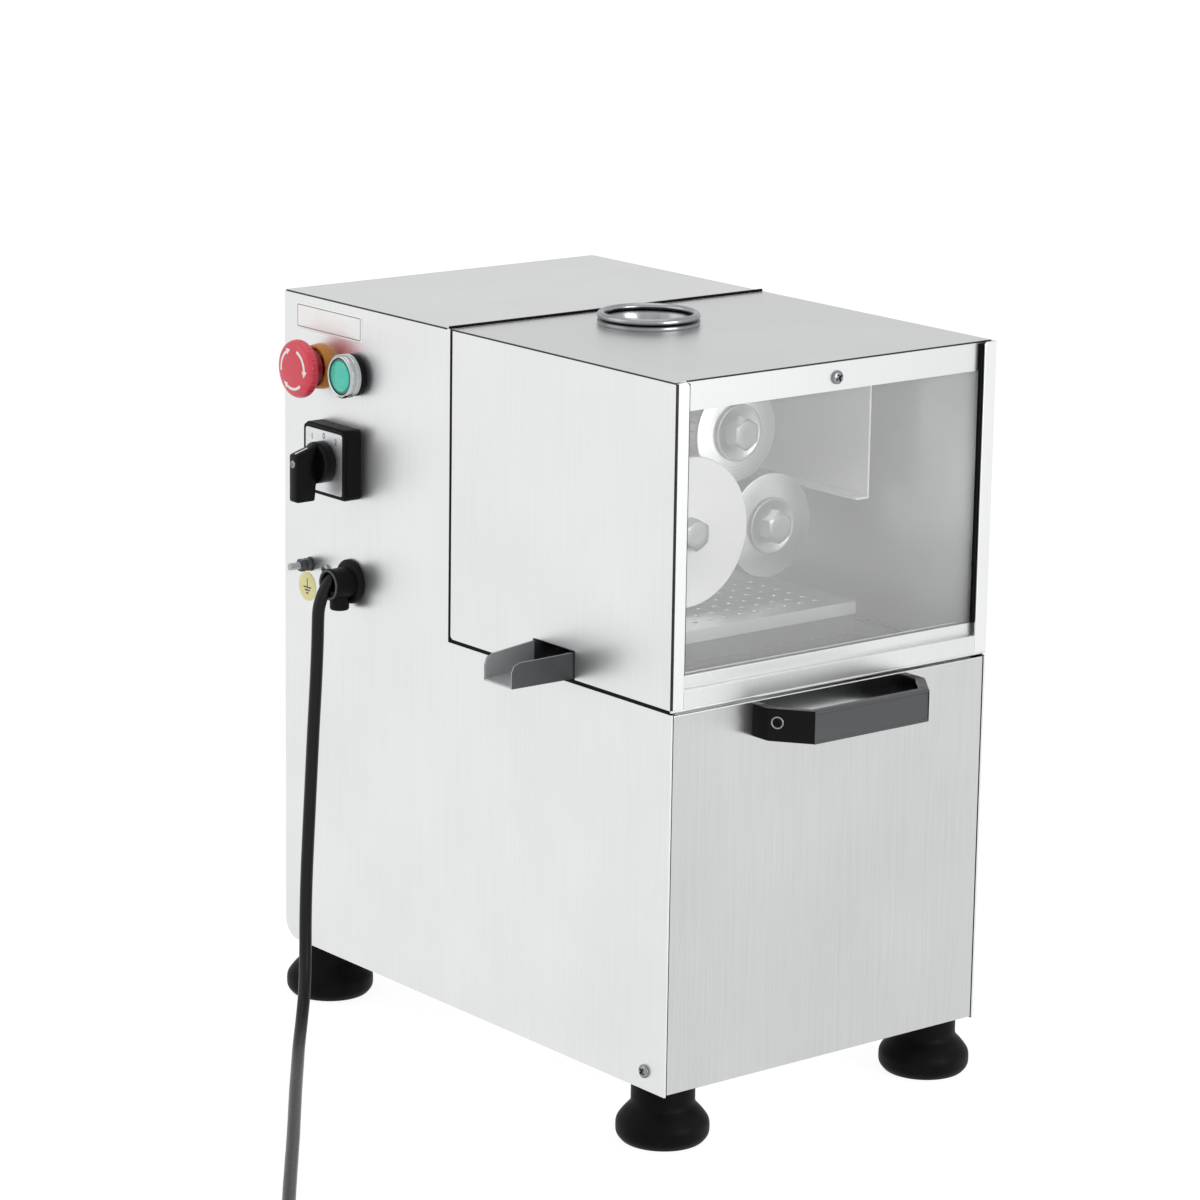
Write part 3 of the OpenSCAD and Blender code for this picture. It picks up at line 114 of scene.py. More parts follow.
# Studio paper: white to the camera and in reflections, and grey enough elsewhere to keep a shadow.
floor_finish = bpy.data.materials.new("pale_studio_floor")
floor_finish.use_nodes = True
tree = floor_finish.node_tree
tree.nodes.clear()
rays = add_node(tree, "LightPath")
paper = add_node(tree, "BsdfDiffuse", {"Color": linear("#ececec")})
white = add_node(tree, "Emission", {"Color": (1, 1, 1, 1), "Strength": 1.14})
seen = add_node(tree, "Math", {
    0: rays.outputs["Is Camera Ray"], 1: rays.outputs["Is Glossy Ray"]}, operation="ADD", use_clamp=True)
seen = add_node(tree, "Math", {
    0: seen, 1: rays.outputs["Is Transmission Ray"]}, operation="ADD", use_clamp=True)
share = add_node(tree, "Math", {0: seen, 1: 0.8}, operation="MULTIPLY")
cover = add_node(tree, "MixShader", {"Fac": share, 1: paper, 2: white})
add_node(tree, "OutputMaterial", {"Surface": cover})
floor_mesh = bpy.data.meshes.new("studio_floor")
floor_mesh.from_pydata([(-12, -12, 0), (12, -12, 0), (12, 12, 0), (-12, 12, 0)], [], [(0, 1, 2, 3)])
floor_mesh.materials.append(floor_finish)
studio_floor = bpy.data.objects.new("studio_floor", floor_mesh)
scene.collection.objects.link(studio_floor)

for name, eye, aim, side, watts in (
        ("back_left_lamp", (-2.3, 1.3, 1.5), (0, 0, 0.25), 2.4, 13),
        ("overhead_lamp", (0.2, 0.3, 2.6), (0, 0, 0.3), 1.6, 8),
        ("front_lamp", (0.35, -1.9, 0.8), (0.03, -0.1, 0.38), 1.0, 17)):
    lamp_data = bpy.data.lights.new(name, "AREA")
    lamp_data.energy = watts
    lamp_data.size = side
    lamp = bpy.data.objects.new(name, lamp_data)
    back = unit(np.array(eye) - np.array(aim))
    right = unit(np.cross((0, 0, 1), back))
    turn = np.column_stack((right, np.cross(back, right), back, eye))
    lamp.matrix_world = Matrix(np.vstack((turn, (0, 0, 0, 1))).tolist())
    scene.collection.objects.link(lamp)

camera_data = bpy.data.cameras.new("photo_camera")
camera_data.lens = 132.9
camera_data.sensor_width = 36
camera_data.clip_start = 0.05
camera_data.clip_end = 60
camera = bpy.data.objects.new("photo_camera", camera_data)
camera.matrix_world = Matrix((
    (0.78102866, 0.13424192, -0.60989617, -1.7979),
    (-0.62432059, 0.19093564, -0.75747435, -2.2091),
    (0.01476611, 0.97237991, 0.2329362, 0.9877),
    (0, 0, 0, 1)))
scene.collection.objects.link(camera)
scene.camera = camera

# Mains lead. A round three-core lead with a smooth black PVC sheath, 8.5 mm thick, that bends down out of
# its gland, lies on the floor towards the front left and is wound into a two-layer coil for storage.


def new_finish(name, color, rough, **sockets):
    """A material with one Principled shader, whose constants go straight onto its sockets, and the place on
    the piece, in metres, that its patterns read."""
    finish = bpy.data.materials.new(name)
    finish.use_nodes = True
    tree = finish.node_tree
    shader = tree.nodes["Principled BSDF"]
    feed(shader, {"Base Color": linear(color), "Roughness": rough})
    feed(shader, {key.replace("_", " "): value for key, value in sockets.items()})
    return finish, tree, shader, add_node(tree, "TexCoord").outputs["Object"]


def grained(name, color, count, detail, low, high=None, dark=None, relief=None, spread=(0, 1), **sockets):
    """A surface with one even grain, count grains to a metre. Where they are given, it moves the roughness
    from low to high over that spread of the grain, the tone from color to dark, and the height by relief,
    which is a strength and a depth in metres."""
    finish, tree, shader, spot = new_finish(name, color, low, **sockets)
    grain = noise(tree, spot, count, detail)
    if high:
        feed(shader, {"Roughness": remap(tree, grain, spread, (low, high))})
    if dark:
        feed(shader, {"Base Color": blend(tree, grain, linear(color), linear(dark))})
    if relief:
        bump = add_node(tree, "Bump", {"Height": grain, "Strength": relief[0], "Distance": relief[1]})
        feed(shader, {"Normal": bump})
    return finish


def settle(piece, body, slot, *nodes):
    """Lets a piece ride on its body and lets it stand for its CAD nodes; slot is not used."""
    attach(piece, body)
    if nodes:
        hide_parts(*nodes)


def make_piece(name, grids, finish, body, slot, *nodes, sharp=38):
    """A mesh of grids of points in mm, each (points[u, v], u closed, v closed): four points next to each
    other make a face. Poles and seams are merged, edges bent by more than sharp degrees stay crisp, and the
    piece is settled on its body."""
    points = []
    faces = []
    start = 0
    for grid, wrap_u, wrap_v in grids:
        index = np.arange(grid.shape[0] * grid.shape[1]).reshape(grid.shape[:2]) + start
        index = np.vstack((index, index[:1])) if wrap_u else index
        index = np.hstack((index, index[:, :1])) if wrap_v else index
        quads = np.stack((index[:-1, :-1], index[1:, :-1], index[1:, 1:], index[:-1, 1:]), -1)
        points.append(grid.reshape(-1, 3))
        faces.append(quads.reshape(-1, 4))
        start += grid.shape[0] * grid.shape[1]
    mesh = bpy.data.meshes.new(name)
    mesh.from_pydata((np.vstack(points) * 0.001).tolist(), [], np.vstack(faces).tolist())
    work = bmesh.new()
    work.from_mesh(mesh)
    bmesh.ops.remove_doubles(work, verts=work.verts, dist=2e-6)
    bmesh.ops.recalc_face_normals(work, faces=work.faces)
    work.to_mesh(mesh)
    work.free()
    mesh.shade_smooth()
    mesh.set_sharp_from_angle(angle=np.radians(sharp))
    mesh.materials.append(finish)
    piece = bpy.data.objects.new(name, mesh)
    scene.collection.objects.link(piece)
    settle(piece, body, slot, *nodes)
    return piece


def smooth_route(points, steps):
    """Curve from b to c of points a, b, c, d: half of 2b + (c-a)f + (2a-5b+4c-d)f2 + (3b-a-3c+d)f3."""
    p = np.vstack((points[:1], points, points[-1:]))[:, None]
    a, b, c, d = p[:-3], p[1:-2], p[2:-1], p[3:]
    f = (np.arange(steps) / steps)[None, :, None]
    curve = 2 * b + (c - a) * f + (2 * a - 5 * b + 4 * c - d) * f ** 2 + (3 * b - a - 3 * c + d) * f ** 3
    return np.vstack((0.5 * curve.reshape(-1, 3), points[-1:]))


def ease(t):
    """Smooth step: 3 t squared less 2 t cubed, with t held between 0 and 1."""
    t = np.clip(t, 0, 1)
    return t * t * (3 - 2 * t)


def full_turn(sides):
    """Even steps round one turn: 2 pi i / sides."""
    return np.arange(sides) * 2 * np.pi / sides


def capped(rings, first, last):
    """A stack of rings, each closed on itself, with one point before the first and one after the last."""
    ends = np.broadcast_to(np.array((first, last))[:, None], (2, rings.shape[1], 3))
    return np.concatenate((ends[:1], rings, ends[1:])), False, True


def tube(path, r, sides, side_of):
    """Round section carried along a path: p + r (u cos t + w sin t), where u is square to the path and to
    side_of and w to both; both ends close in their middle."""
    ahead = unit(np.gradient(path, axis=0))
    u = unit(np.cross(np.broadcast_to(side_of, path.shape), ahead))
    w = np.cross(ahead, u)
    t = full_turn(sides)[:, None]
    return capped(path[:, None] + r * (u[:, None] * np.cos(t) + w[:, None] * np.sin(t)), path[0], path[-1])


x_left = -115.5
lead_r = 4.25
lay_z = 4.6
lead_way = np.array((-0.588, -0.809, 0))
lead_side = np.array((-0.809, 0.588, 0))
lead_up = np.array((0, 0, 1.0))
bend_r = 34
bend = np.radians(np.arange(40, 81, 8))
bend_points = np.column_stack((
    x_left - 15.3 - bend_r * (np.sin(bend) - np.sin(bend[0])), np.full(len(bend), 146.0),
    310.4 - bend_r * (np.cos(bend[0]) - np.cos(bend))))
lead_route = np.vstack((bend_points, [
    (-143, 146, 284), (-143.5, 146, 266), (-144.8, 146, 240), (-147, 146, 205), (-149, 146, 170),
    (-151, 146, 135), (-152.5, 146, 105), (-154, 145, 78), (-157, 141, 53), (-164, 132, 32), (-176, 118, 17),
    (-193, 97, 8), (-212, 71.5, lay_z), (-238, 36, lay_z), (-264, 0, lay_z), (-290, -36, lay_z),
    (-316, -71.5, lay_z), (-342, -107, lay_z), (-368, -143, lay_z), (-394, -179, lay_z),
    (-416, -209, lay_z)]))
run_path = smooth_route(lead_route, 4)

# The coil winds in for two turns, climbs one layer and winds out for two, turn_step from turn to turn.
coil_inner = 36
turn_step = 9.2
coil_lift = 1.2
coil_from = np.arctan2(lead_way[1], lead_way[0]) - np.pi / 2
coil_start = np.array((np.cos(coil_from), np.sin(coil_from), 0))
coil_centre = run_path[-1] - (coil_inner + 2 * turn_step) * coil_start
coil_steps = 36
coil_turn = np.arange(1, 4 * coil_steps + 1) / coil_steps
coil_r = coil_inner + turn_step * np.abs(coil_turn - 2)
coil_way = coil_from + 2 * np.pi * coil_turn
coil_up = turn_step * ease((coil_turn - 2) * 2 + 0.5) + coil_lift * ease(4 * coil_turn)
coil_path = coil_centre + np.column_stack((coil_r * np.cos(coil_way), coil_r * np.sin(coil_way), coil_up))
tail_length = 27
tail_path = coil_path[-1] + np.linspace(0, 1, 5)[1:, None] * tail_length * lead_way
plug_from = tail_path[-1]
lead_path = np.vstack((run_path, coil_path, tail_path))

# PVC: satin, with the faint waviness of an extruded sheath, drawn at 3 mm so that it shows.
pvc_finish = grained("black_pvc_sheath", "#070707", 330.0, 3.0, 0.26, 0.42, relief=(0.12, 0.0006),
                     Specular_IOR_Level=0.25)

# The sheath's side turns from level to upright on the straight floor run, square to it all the way.
flat_from = 74
flat_points = 26
turn_share = ease((np.arange(len(lead_path)) - flat_from) / flat_points)[:, None]
lead_ref = unit((1 - turn_share) * lead_side + turn_share * lead_up)
mains_lead = make_piece("mains_lead", [tube(lead_path, lead_r, 16, lead_ref)],
                        pvc_finish, "cabinet", "cord_rubber", "cord_run", "cord_coil")
mains_lead.visible_glossy = False

# Storage tie. A black woven hook-and-loop strap round all turns of the coil, on the side away from the
# plug, pulled snug over the four turns that lie two by two.
tie_way = coil_from + np.pi
tie_out = np.array((np.cos(tie_way), np.sin(tie_way), 0))
tie_along = np.array((-np.sin(tie_way), np.cos(tie_way), 0))
tie_turn = np.linspace(0, 2 * np.pi, 48, endpoint=False)[:, None] + 0.01
half_step = turn_step / 2
band = np.array([(4.45, -6.0), (4.45, 6.0), (4.75, 6.25), (5.3, 6.25), (5.6, 6.0), (5.6, -6.0), (5.3, -6.25),
                 (4.75, -6.25)])
tie_r = half_step * np.sign(np.cos(tie_turn)) + band[:, 0] * np.cos(tie_turn)
tie_z = half_step * np.sign(np.sin(tie_turn)) + band[:, 0] * np.sin(tie_turn)
tie_mid = np.array((coil_centre[0], coil_centre[1], lay_z + coil_lift + half_step))
tie_points = (tie_mid + (coil_inner + turn_step + tie_r)[..., None] * tie_out + tie_z[..., None] * lead_up
              + band[:, 1][:, None] * tie_along)

# Woven nylon: dull and soft, with loops 1.1 mm apart that stand up a little.
tie_finish, tree, shader, spot = new_finish("woven_nylon_strap", "#1d1d20", 0.8)
weave = add_node(tree, "TexVoronoi", {"Vector": spot, "Scale": 900.0})
relief = add_node(tree, "Bump", {"Height": weave, "Strength": 0.5, "Distance": 0.0004})
feed(shader, {"Normal": relief})
lead_tie = make_piece("lead_tie", [(tie_points, True, True)], tie_finish, "cabinet", "cord_rubber", sharp=50)

# Plug. A plug of black PVC, moulded onto the lead with a ribbed bend relief, and two plated blades and a
# round earth pin set into its face.


def superellipse(sides, power):
    """Outline between an ellipse and a box: cos and sin, each to the power 2 / power, sign kept."""
    t = full_turn(sides)
    both = np.stack((np.cos(t), np.sin(t)), -1)
    return np.sign(both) * np.abs(both) ** (2 / power)


plug_rows = np.array([
    (0, 4.6, 4.6, 2), (0.4, 5.3, 5.3, 2), (3.4, 5.6, 5.6, 2), (3.8, 5.0, 5.0, 2), (5.4, 5.1, 5.1, 2),
    (5.8, 6.0, 6.0, 2), (8.6, 6.4, 6.4, 2), (9.0, 5.7, 5.7, 2), (10.6, 5.9, 5.9, 2), (11, 6.9, 6.9, 2),
    (13.8, 7.2, 7.2, 2), (14.2, 6.5, 6.5, 2), (15.8, 6.8, 6.8, 2), (16.2, 7.8, 7.8, 2.1), (19, 8.4, 8.4, 2.2),
    (21, 10.5, 10.2, 2.5), (24, 13.6, 12.6, 2.9), (28, 15.2, 14.1, 3.3), (33, 15.5, 14.5, 3.6),
    (47, 15.3, 14.4, 3.8), (50, 15.1, 14.2, 3.8), (51.4, 14.5, 13.6, 3.8), (52, 13.4, 12.6, 3.8)])
plug_face = plug_rows[-1, 0]
plug_ring = np.stack([superellipse(48, p) for p in plug_rows[:, 3]]) * plug_rows[:, None, 1:3]
plug_grid = (plug_from + plug_rows[:, :1, None] * lead_way + plug_ring[..., :1] * lead_side
             + plug_ring[..., 1:] * lead_up)
plug_body = make_piece("plug_body", [capped(plug_grid, plug_from, plug_from + plug_face * lead_way)],
                       pvc_finish, "cabinet", "cord_rubber", "mains_plug", sharp=50)

# Nickel plate on brass: bright and slightly warm, with rubbed marks about 2 mm long.
nickel_finish = grained("nickel_plated_brass", "#c9c4b4", 500.0, 4.0, 0.16, 0.38, Metallic=1.0)


def pin(side, up, half_w, half_h, reach, power):
    """Plug pin: a superellipse carried along the plug's axis, drawn in over its last 2 mm."""
    end = plug_face + reach
    rows = np.array([(plug_face - 1, 1), (end - 2, 1), (end - 0.7, 0.86), (end, 0.5)])
    ring = superellipse(24, power) * (half_w, half_h)
    middle = plug_from + rows[:, :1] * lead_way + side * lead_side + up * lead_up
    grid = middle[:, None] + rows[:, 1:, None] * (ring[:, :1] * lead_side + ring[:, 1:] * lead_up)
    return capped(grid, middle[0], middle[-1])


plug_pins = make_piece("plug_pins", [
    pin(-6.35, 4, 0.75, 3.15, 17, 8), pin(6.35, 4, 0.75, 3.15, 17, 8), pin(0, -7.5, 2.4, 2.4, 20, 2)],
    nickel_finish, "cabinet", "bright_steel")

# Rubber feet. Four moulded black rubber feet with a rounded base, a flared shoulder and a neck, each on a
# bonded stud through the base pan.


def rounded(corners, cuts, closed):
    """Outline with round corners: each corner c becomes the curve from c - cut towards the last corner to c
    + cut towards the next, bent over c as (1-t)2 p + 2t(1-t) c + t2 q; a cut is at most 0.49 of a side."""
    c = np.array(corners, float)
    cut = np.broadcast_to(np.asarray(cuts, float), len(c))[:, None]
    before = np.roll(c, 1, 0) - c
    after = np.roll(c, -1, 0) - c
    if not closed:
        before[0] = 0
        after[-1] = 0
    size_b = np.maximum(np.linalg.norm(before, axis=1, keepdims=True), 1e-9)
    size_a = np.maximum(np.linalg.norm(after, axis=1, keepdims=True), 1e-9)
    p = (c + before / size_b * np.minimum(cut, size_b * 0.49))[:, None]
    q = (c + after / size_a * np.minimum(cut, size_a * 0.49))[:, None]
    t = np.linspace(0, 1, 6)[None, :, None]
    return ((1 - t) ** 2 * p + 2 * t * (1 - t) * c[:, None] + t ** 2 * q).reshape(-1, 2)


def ring_points(radius, t, height):
    """Points round a local z axis: r cos t, r sin t, h."""
    return np.stack(np.broadcast_arrays(radius * np.cos(t), radius * np.sin(t), height), -1)


def placed(local, at, axes):
    """A local grid in its place: at + x X + y Y + z Z, where X, Y and Z are the rows of axes."""
    return np.array(at) + local @ np.array(axes), False, True


def turned(corners, cuts, at, axes, sides=64):
    """Turned piece: a rounded profile of (radius, height) carried round: r cos t, r sin t, h in axes."""
    profile = rounded(corners, cuts, False)
    return placed(ring_points(profile[:, :1], full_turn(sides), profile[:, 1:]), at, axes)


UPRIGHT = ((1, 0, 0), (0, 1, 0), (0, 0, 1))
foot_profile = [(0, 0), (26, 0), (30, 4.5), (30, 13.5), (25.4, 19.6), (20.5, 24.7), (20.5, 38), (4, 38),
                (4, 42.5), (0, 42.5)]
foot_cuts = [0, 1.5, 3, 3, 2.5, 2.5, 0.8, 0.3, 0.5, 0]
foot_grids = [turned(foot_profile, foot_cuts, (x, y, 0), UPRIGHT, 72)
              for x in (-95.5, 129.5) for y in (-166, 199)]

# Rubber: nearly black and dull, with a fine moulded grain, drawn at 1 mm, and soft patches of dust.
rubber_finish, tree, shader, spot = new_finish(
    "black_moulded_rubber", "#050505", 0.5, Specular_IOR_Level=0.08)
grain = noise(tree, spot, 1000.0, 2.0)
patch = remap(tree, noise(tree, spot, 55.0, 5.0), (0.5, 0.8))
tint = blend(tree, patch, linear("#040404"), linear("#101010"))
relief = add_node(tree, "Bump", {"Height": grain, "Strength": 0.12, "Distance": 0.0003})
feed(shader, {"Base Color": tint, "Normal": relief})
make_piece("moulded_feet", foot_grids, rubber_finish, "cabinet", "black_rubber", "rubber_feet")

# Cabinet shell. Side panels, base pan and rear cover are 1.5 mm stainless sheet, brushed upright, with
# folded edges; the drawer front is a folded pan of the same sheet.


def dress(names, finish, edge=0.0):
    """Gives CAD nodes their finish. With an edge in mm, live modifiers weld the loose triangles, clear the
    flat faces of inner edges and round the folds and cut edges."""
    for name in names:
        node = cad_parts[name]
        for material_slot in node.material_slots:
            material_slot.material = finish
        if edge:
            weld = node.modifiers.new("weld", "WELD")
            weld.merge_threshold = 2e-6
            flat = node.modifiers.new("flat", "DECIMATE")
            flat.decimate_type = "DISSOLVE"
            flat.angle_limit = np.radians(0.5)
            bevel = node.modifiers.new("edges", "BEVEL")
            bevel.width = edge * 0.001
            bevel.segments = 3
            bevel.limit_method = "ANGLE"
            bevel.angle_limit = np.radians(50)


def brushed_steel(name, light, dark, low, high, stretch, sweep=0.0):
    """Brushed stainless: long fine streaks vary the gloss from low to high, and soft handling marks about
    80 mm wide move the tone from light to dark. stretch is the streaks' size per axis in mm. With a sweep,
    the upright brushing spreads reflections sideways, along normal x up, and keeps them sharper upwards."""
    finish, tree, shader, spot = new_finish(name, light, low, Metallic=1.0, Anisotropic=sweep)
    if sweep:
        face = add_node(tree, "NewGeometry")
        level = add_node(tree, "VectorMath", {
            0: face.outputs["Normal"], 1: (0, 0, 1)}, operation="CROSS_PRODUCT")
        sideways = add_node(tree, "VectorMath", {0: level, 1: (0.01, 0, 0)}, operation="ADD")
        feed(shader, {"Tangent": sideways})
    pull = add_node(tree, "Mapping", {"Vector": spot, "Scale": tuple(1000 / s for s in stretch)})
    streak = noise(tree, pull, 1.0, 4.0)
    smudge = noise(tree, spot, 12.0, 3.0)
    both = add_node(tree, "Mix", {"Factor": 0.5, "A": streak, "B": smudge})
    rough = remap(tree, both, (0.3, 0.7), (low, high))
    tint = blend(tree, remap(tree, both, (0.35, 0.75)), linear(light), linear(dark))
    relief = add_node(tree, "Bump", {"Height": streak, "Strength": 0.025, "Distance": 0.0002})
    feed(shader, {"Base Color": tint, "Roughness": rough, "Normal": relief})
    return finish


# Streaks are 0.3 mm wide on the real sheet, and drawn 0.9 mm wide so that they show.
upright_streak = (0.9, 0.9, 70)
shell_steel = brushed_steel("brushed_stainless_sheet", "#e4e5e5", "#dcdddd", 0.3, 0.38, upright_streak)
dress(("left_side_panel", "right_side_panel", "rear_cover", "base_pan"), shell_steel, 0.45)
# The drawer front has the sheet's brushed stainless in a darker tone: painted shade on the front.
front_shaded_steel = brushed_steel("brushed_stainless_front_painted_shade", "#cbcccc", "#c1c2c2", 0.19, 0.25, upright_streak, 0.85)
dress(("drawer_front",), front_shaded_steel, 0.7)

# Inner works on the floor: a folded steel stand, two flame-cut bearing plates with round spacers, bronze
# bushes and rubber lip seals. They carry the three roller shafts behind the partition.
mill_steel = brushed_steel("plain_mill_steel", "#8d9194", "#6c7073", 0.42, 0.6, (3, 3, 9))
dress(("press_stand", "front_bearing_plate", "rear_bearing_plate"), mill_steel, 0.6)
inner_steel = brushed_steel("plain_stainless_sheet", "#d4d6d7", "#bfc2c4", 0.36, 0.52, (1.5, 14, 14))
dress(("partition", "plate_spacers"), inner_steel, 0.4)

# Bronze: warm and turned, with mottled oil stains about 8 mm wide.
bronze_finish = grained("turned_bronze", "#b98f4a", 125.0, 4.0, 0.35, dark="#7d5c2b", Metallic=1.0)
dress(("bearing_bushes",), bronze_finish)
dress(("shaft_seals", "hood_gasket"), rubber_finish)

# Drive. A worm reducer of cast aluminium hangs on the main shaft, with a closed, enamelled motor below it;
# a contactor stands on the floor. All of them are bought-in units, bolted on.

# Cast aluminium: pale grey with the sandy skin of the mould, drawn at 1.5 mm.
cast_finish = grained("sand_cast_aluminium", "#9ba0a4", 650.0, 3.0, 0.42, 0.68, relief=(0.4, 0.0008),
                      Metallic=0.9)
dress(("reducer_case",), cast_finish, 0.6)

# Motor enamel: half-gloss blue-grey paint with orange-peel waviness of about 2 mm.
enamel_finish = grained("blue_grey_enamel", "#3d4853", 480.0, 2.0, 0.28, 0.45, relief=(0.2, 0.0005),
                        Coat_Weight=0.3, Coat_Roughness=0.2)
dress(("motor",), enamel_finish, 0.4)

# Glass-filled nylon: black and dull, with the fine spark texture of its mould, drawn at 0.8 mm.
nylon_finish = grained("black_moulded_nylon", "#0a0a0a", 1250.0, 2.0, 0.38, 0.62, relief=(0.15, 0.0003),
                       Specular_IOR_Level=0.12)
dress(("contactor", "estop_block", "button_block", "switch_body"), nylon_finish, 0.4)

# Gears and shafts. Three cut spur gears of dark iron turn on keyed steel shafts; the main gear is wide, the
# upper one meshes with its front half and the lower one with its rear half.
gear_finish = brushed_steel("oiled_cut_iron", "#6d7072", "#4b4e50", 0.3, 0.5, (2, 12, 2))
dress(("main_gear", "upper_gear", "lower_gear"), gear_finish, 0.25)
shaft_finish = brushed_steel("ground_shaft_steel", "#c9ccce", "#b3b6b8", 0.2, 0.34, (4, 0.8, 4))
dress(("main_shaft", "upper_shaft", "lower_shaft"), shaft_finish)

# Rollers. Three stainless rollers with 36 V flutes, drawn up against their shafts by hex bolts; their front
# ends are plain turned rims, and the main one carries a wide disc that keeps the cane on it.
FORWARD = ((1, 0, 0), (0, 0, 1), (0, -1, 0))
flutes = 36
flute_depth = 1.6


def turned_steel(name, light, dark, at):
    """Turned stainless: rings 2.4 mm apart round the axis at (x, z), as a lathe's feed leaves them, drawn
    wider than the real 0.2 mm feed so that they show. Light runs across the rings in two fans, as on any
    turned face."""
    finish, tree, shader, spot = new_finish(name, light, 0.36, Metallic=1.0, Anisotropic=0.6)
    centred = add_node(tree, "Mapping", {"Vector": spot, "Location": (-at[0] / 1000, 0, -at[1] / 1000)})
    rings = add_node(tree, "TexWave", {
        "Vector": centred, "Scale": 130.0}, wave_type="RINGS", rings_direction="Y")
    tint = blend(tree, rings.outputs["Fac"], linear(light), linear(dark))
    rough = remap(tree, rings.outputs["Fac"], (0, 1), (0.35, 0.39))
    sweep = add_node(tree, "Tangent", direction_type="RADIAL", axis="Y")
    feed(shader, {"Base Color": tint, "Roughness": rough, "Tangent": sweep})
    return finish


def fluted(at, r, y_front, y_back):
    """Fluted roller: radius r, less the flute's depth in the V between two lands; the flutes start behind a
    plain rim 3 mm wide and run out at the back, and both ends close in their middle. Each row gives 0 for
    the middle or 1 for the rim, the rim's inset, the distance from the front and the share of the flute."""
    t = (np.arange(flutes)[:, None] + np.array((-0.3, 0.0, 0.3, 0.5))).ravel() * 2 * np.pi / flutes
    depth = np.tile((0, 0, 0, flute_depth), flutes)
    length = y_back - y_front
    rows = np.array([
        (0, 0, 0, 0), (1, 1.0, 0, 0), (1, 0.3, 0.3, 0), (1, 0, 1, 0), (1, 0, 3, 0), (1, 0, 3.4, 1),
        (1, 0, length, 1), (0, 0, length, 0)])
    rim, inset, back, share = rows.T[..., None]
    radius = rim * (r - inset - depth * share)
    return placed(ring_points(radius, t, -back), (at[0], y_front, at[1]), FORWARD)


def hexagon(t, half):
    """Radius of a hexagon: half its width across flats / cos of the turn from the nearest flat."""
    return half / np.cos((t + np.pi / 6) % (np.pi / 3) - np.pi / 6)


def hex_head(at, y, across, high):
    """Hex bolt head: a hexagon whose rim falls away with the radius past the chamfer circle, so that each
    flat has its curved edge, with a shallow dish in its face."""
    t = full_turn(72)
    corner = hexagon(t, across / 2)
    face = across / 2 * 0.93
    rim = high - 0.2 - (corner - face) * 0.55
    dish = high - 0.25
    radius = np.stack(np.broadcast_arrays(0, across * 0.2, face, face + 0.12, corner, corner, 0))
    height = np.stack(np.broadcast_arrays(dish, dish, high, high - 0.04, rim, 0, 0))
    return placed(ring_points(radius, t, height), (at[0], y, at[1]), FORWARD)


main_at = (3.5, 362)
upper_at = (47.584, 422.676)
lower_at = (78.317, 356.768)

# Bright stainless bolt: plain rolled steel with soft smears about 8 mm wide.
bolt_finish = grained("bright_stainless_bolt", "#aaacad", 120.0, 2.0, 0.26, 0.36, Metallic=1.0)

# Blasted stainless: glass beads leave it matt and nearly white, clouded in patches of about 30 mm.
blasted_finish = grained("bead_blasted_stainless", "#ffffff", 33.0, 2.0, 0.55, dark="#f7f7f7", Metallic=0.15)
for part, at, r, y_face in (("main", main_at, 39, -58), ("upper", upper_at, 33.5, -56.5),
                            ("lower", lower_at, 35.2, -56.5)):
    # The lower roller gets a darker copy of the turned stainless: painted shade on that roller.
    tones = ("#b0b1b2", "#a7a8a9") if part == "lower" else ("#eeefef", "#e4e5e6")
    roller_finish = turned_steel(part + "_turned_stainless", *tones, at)
    make_piece(part + "_fluted_roller", [fluted(at, r, y_face, 26)],
               roller_finish, part + "_roller_set", "roller_steel", part + "_roller", sharp=30)
    if part == "main":
        disc = turned([(0, -4), (50, -4), (50, 0), (34, 0), (22, 0.5), (13, 2), (0, 2)],
                      [0, 1.0, 1.0, 6, 5, 2, 0], (at[0], y_face - 4, at[1]), FORWARD, 128)
        make_piece("main_flange_disc", [disc],
                   blasted_finish, "main_roller_set", "roller_steel", "main_flange", sharp=50)
        bolt_grids = [hex_head(at, y_face - 6, 19, 8)]
    else:
        bolt_grids = [hex_head(at, y_face - 1.4, 19, 9.6),
                      turned([(0, 0), (19, 0), (19, 3), (17.4, 3), (11.5, 1.4), (0, 1.4)],
                             [0, 0.2, 0.5, 0.5, 0.8, 0], (at[0], y_face, at[1]), FORWARD, 96)]
    make_piece(part + "_hex_bolt", bolt_grids,
               bolt_finish, part + "_roller_set", "bright_steel", part + "_bolt", sharp=32)

# Tray and drawer. The juice tray with its spout, the perforated strainer plate, the splash guide and the
# residue bin are folded stainless sheet; the bin slides on two plastic runners.
dress(("residue_bin",), inner_steel, 0.3)
tray_streak = (14, 1.5, 14)
# The tray's stainless is toned far darker than the other sheet: painted shade for dark reflections on its
# walls.
tray_shade_and_light_steel = brushed_steel("stainless_tray_painted_shade_and_light", "#4c4e50", "#404244", 0.26, 0.38, tray_streak)
tree = tray_shade_and_light_steel.node_tree
shader = tree.nodes["Principled BSDF"]
shader.inputs["Metallic"].default_value = 0.45

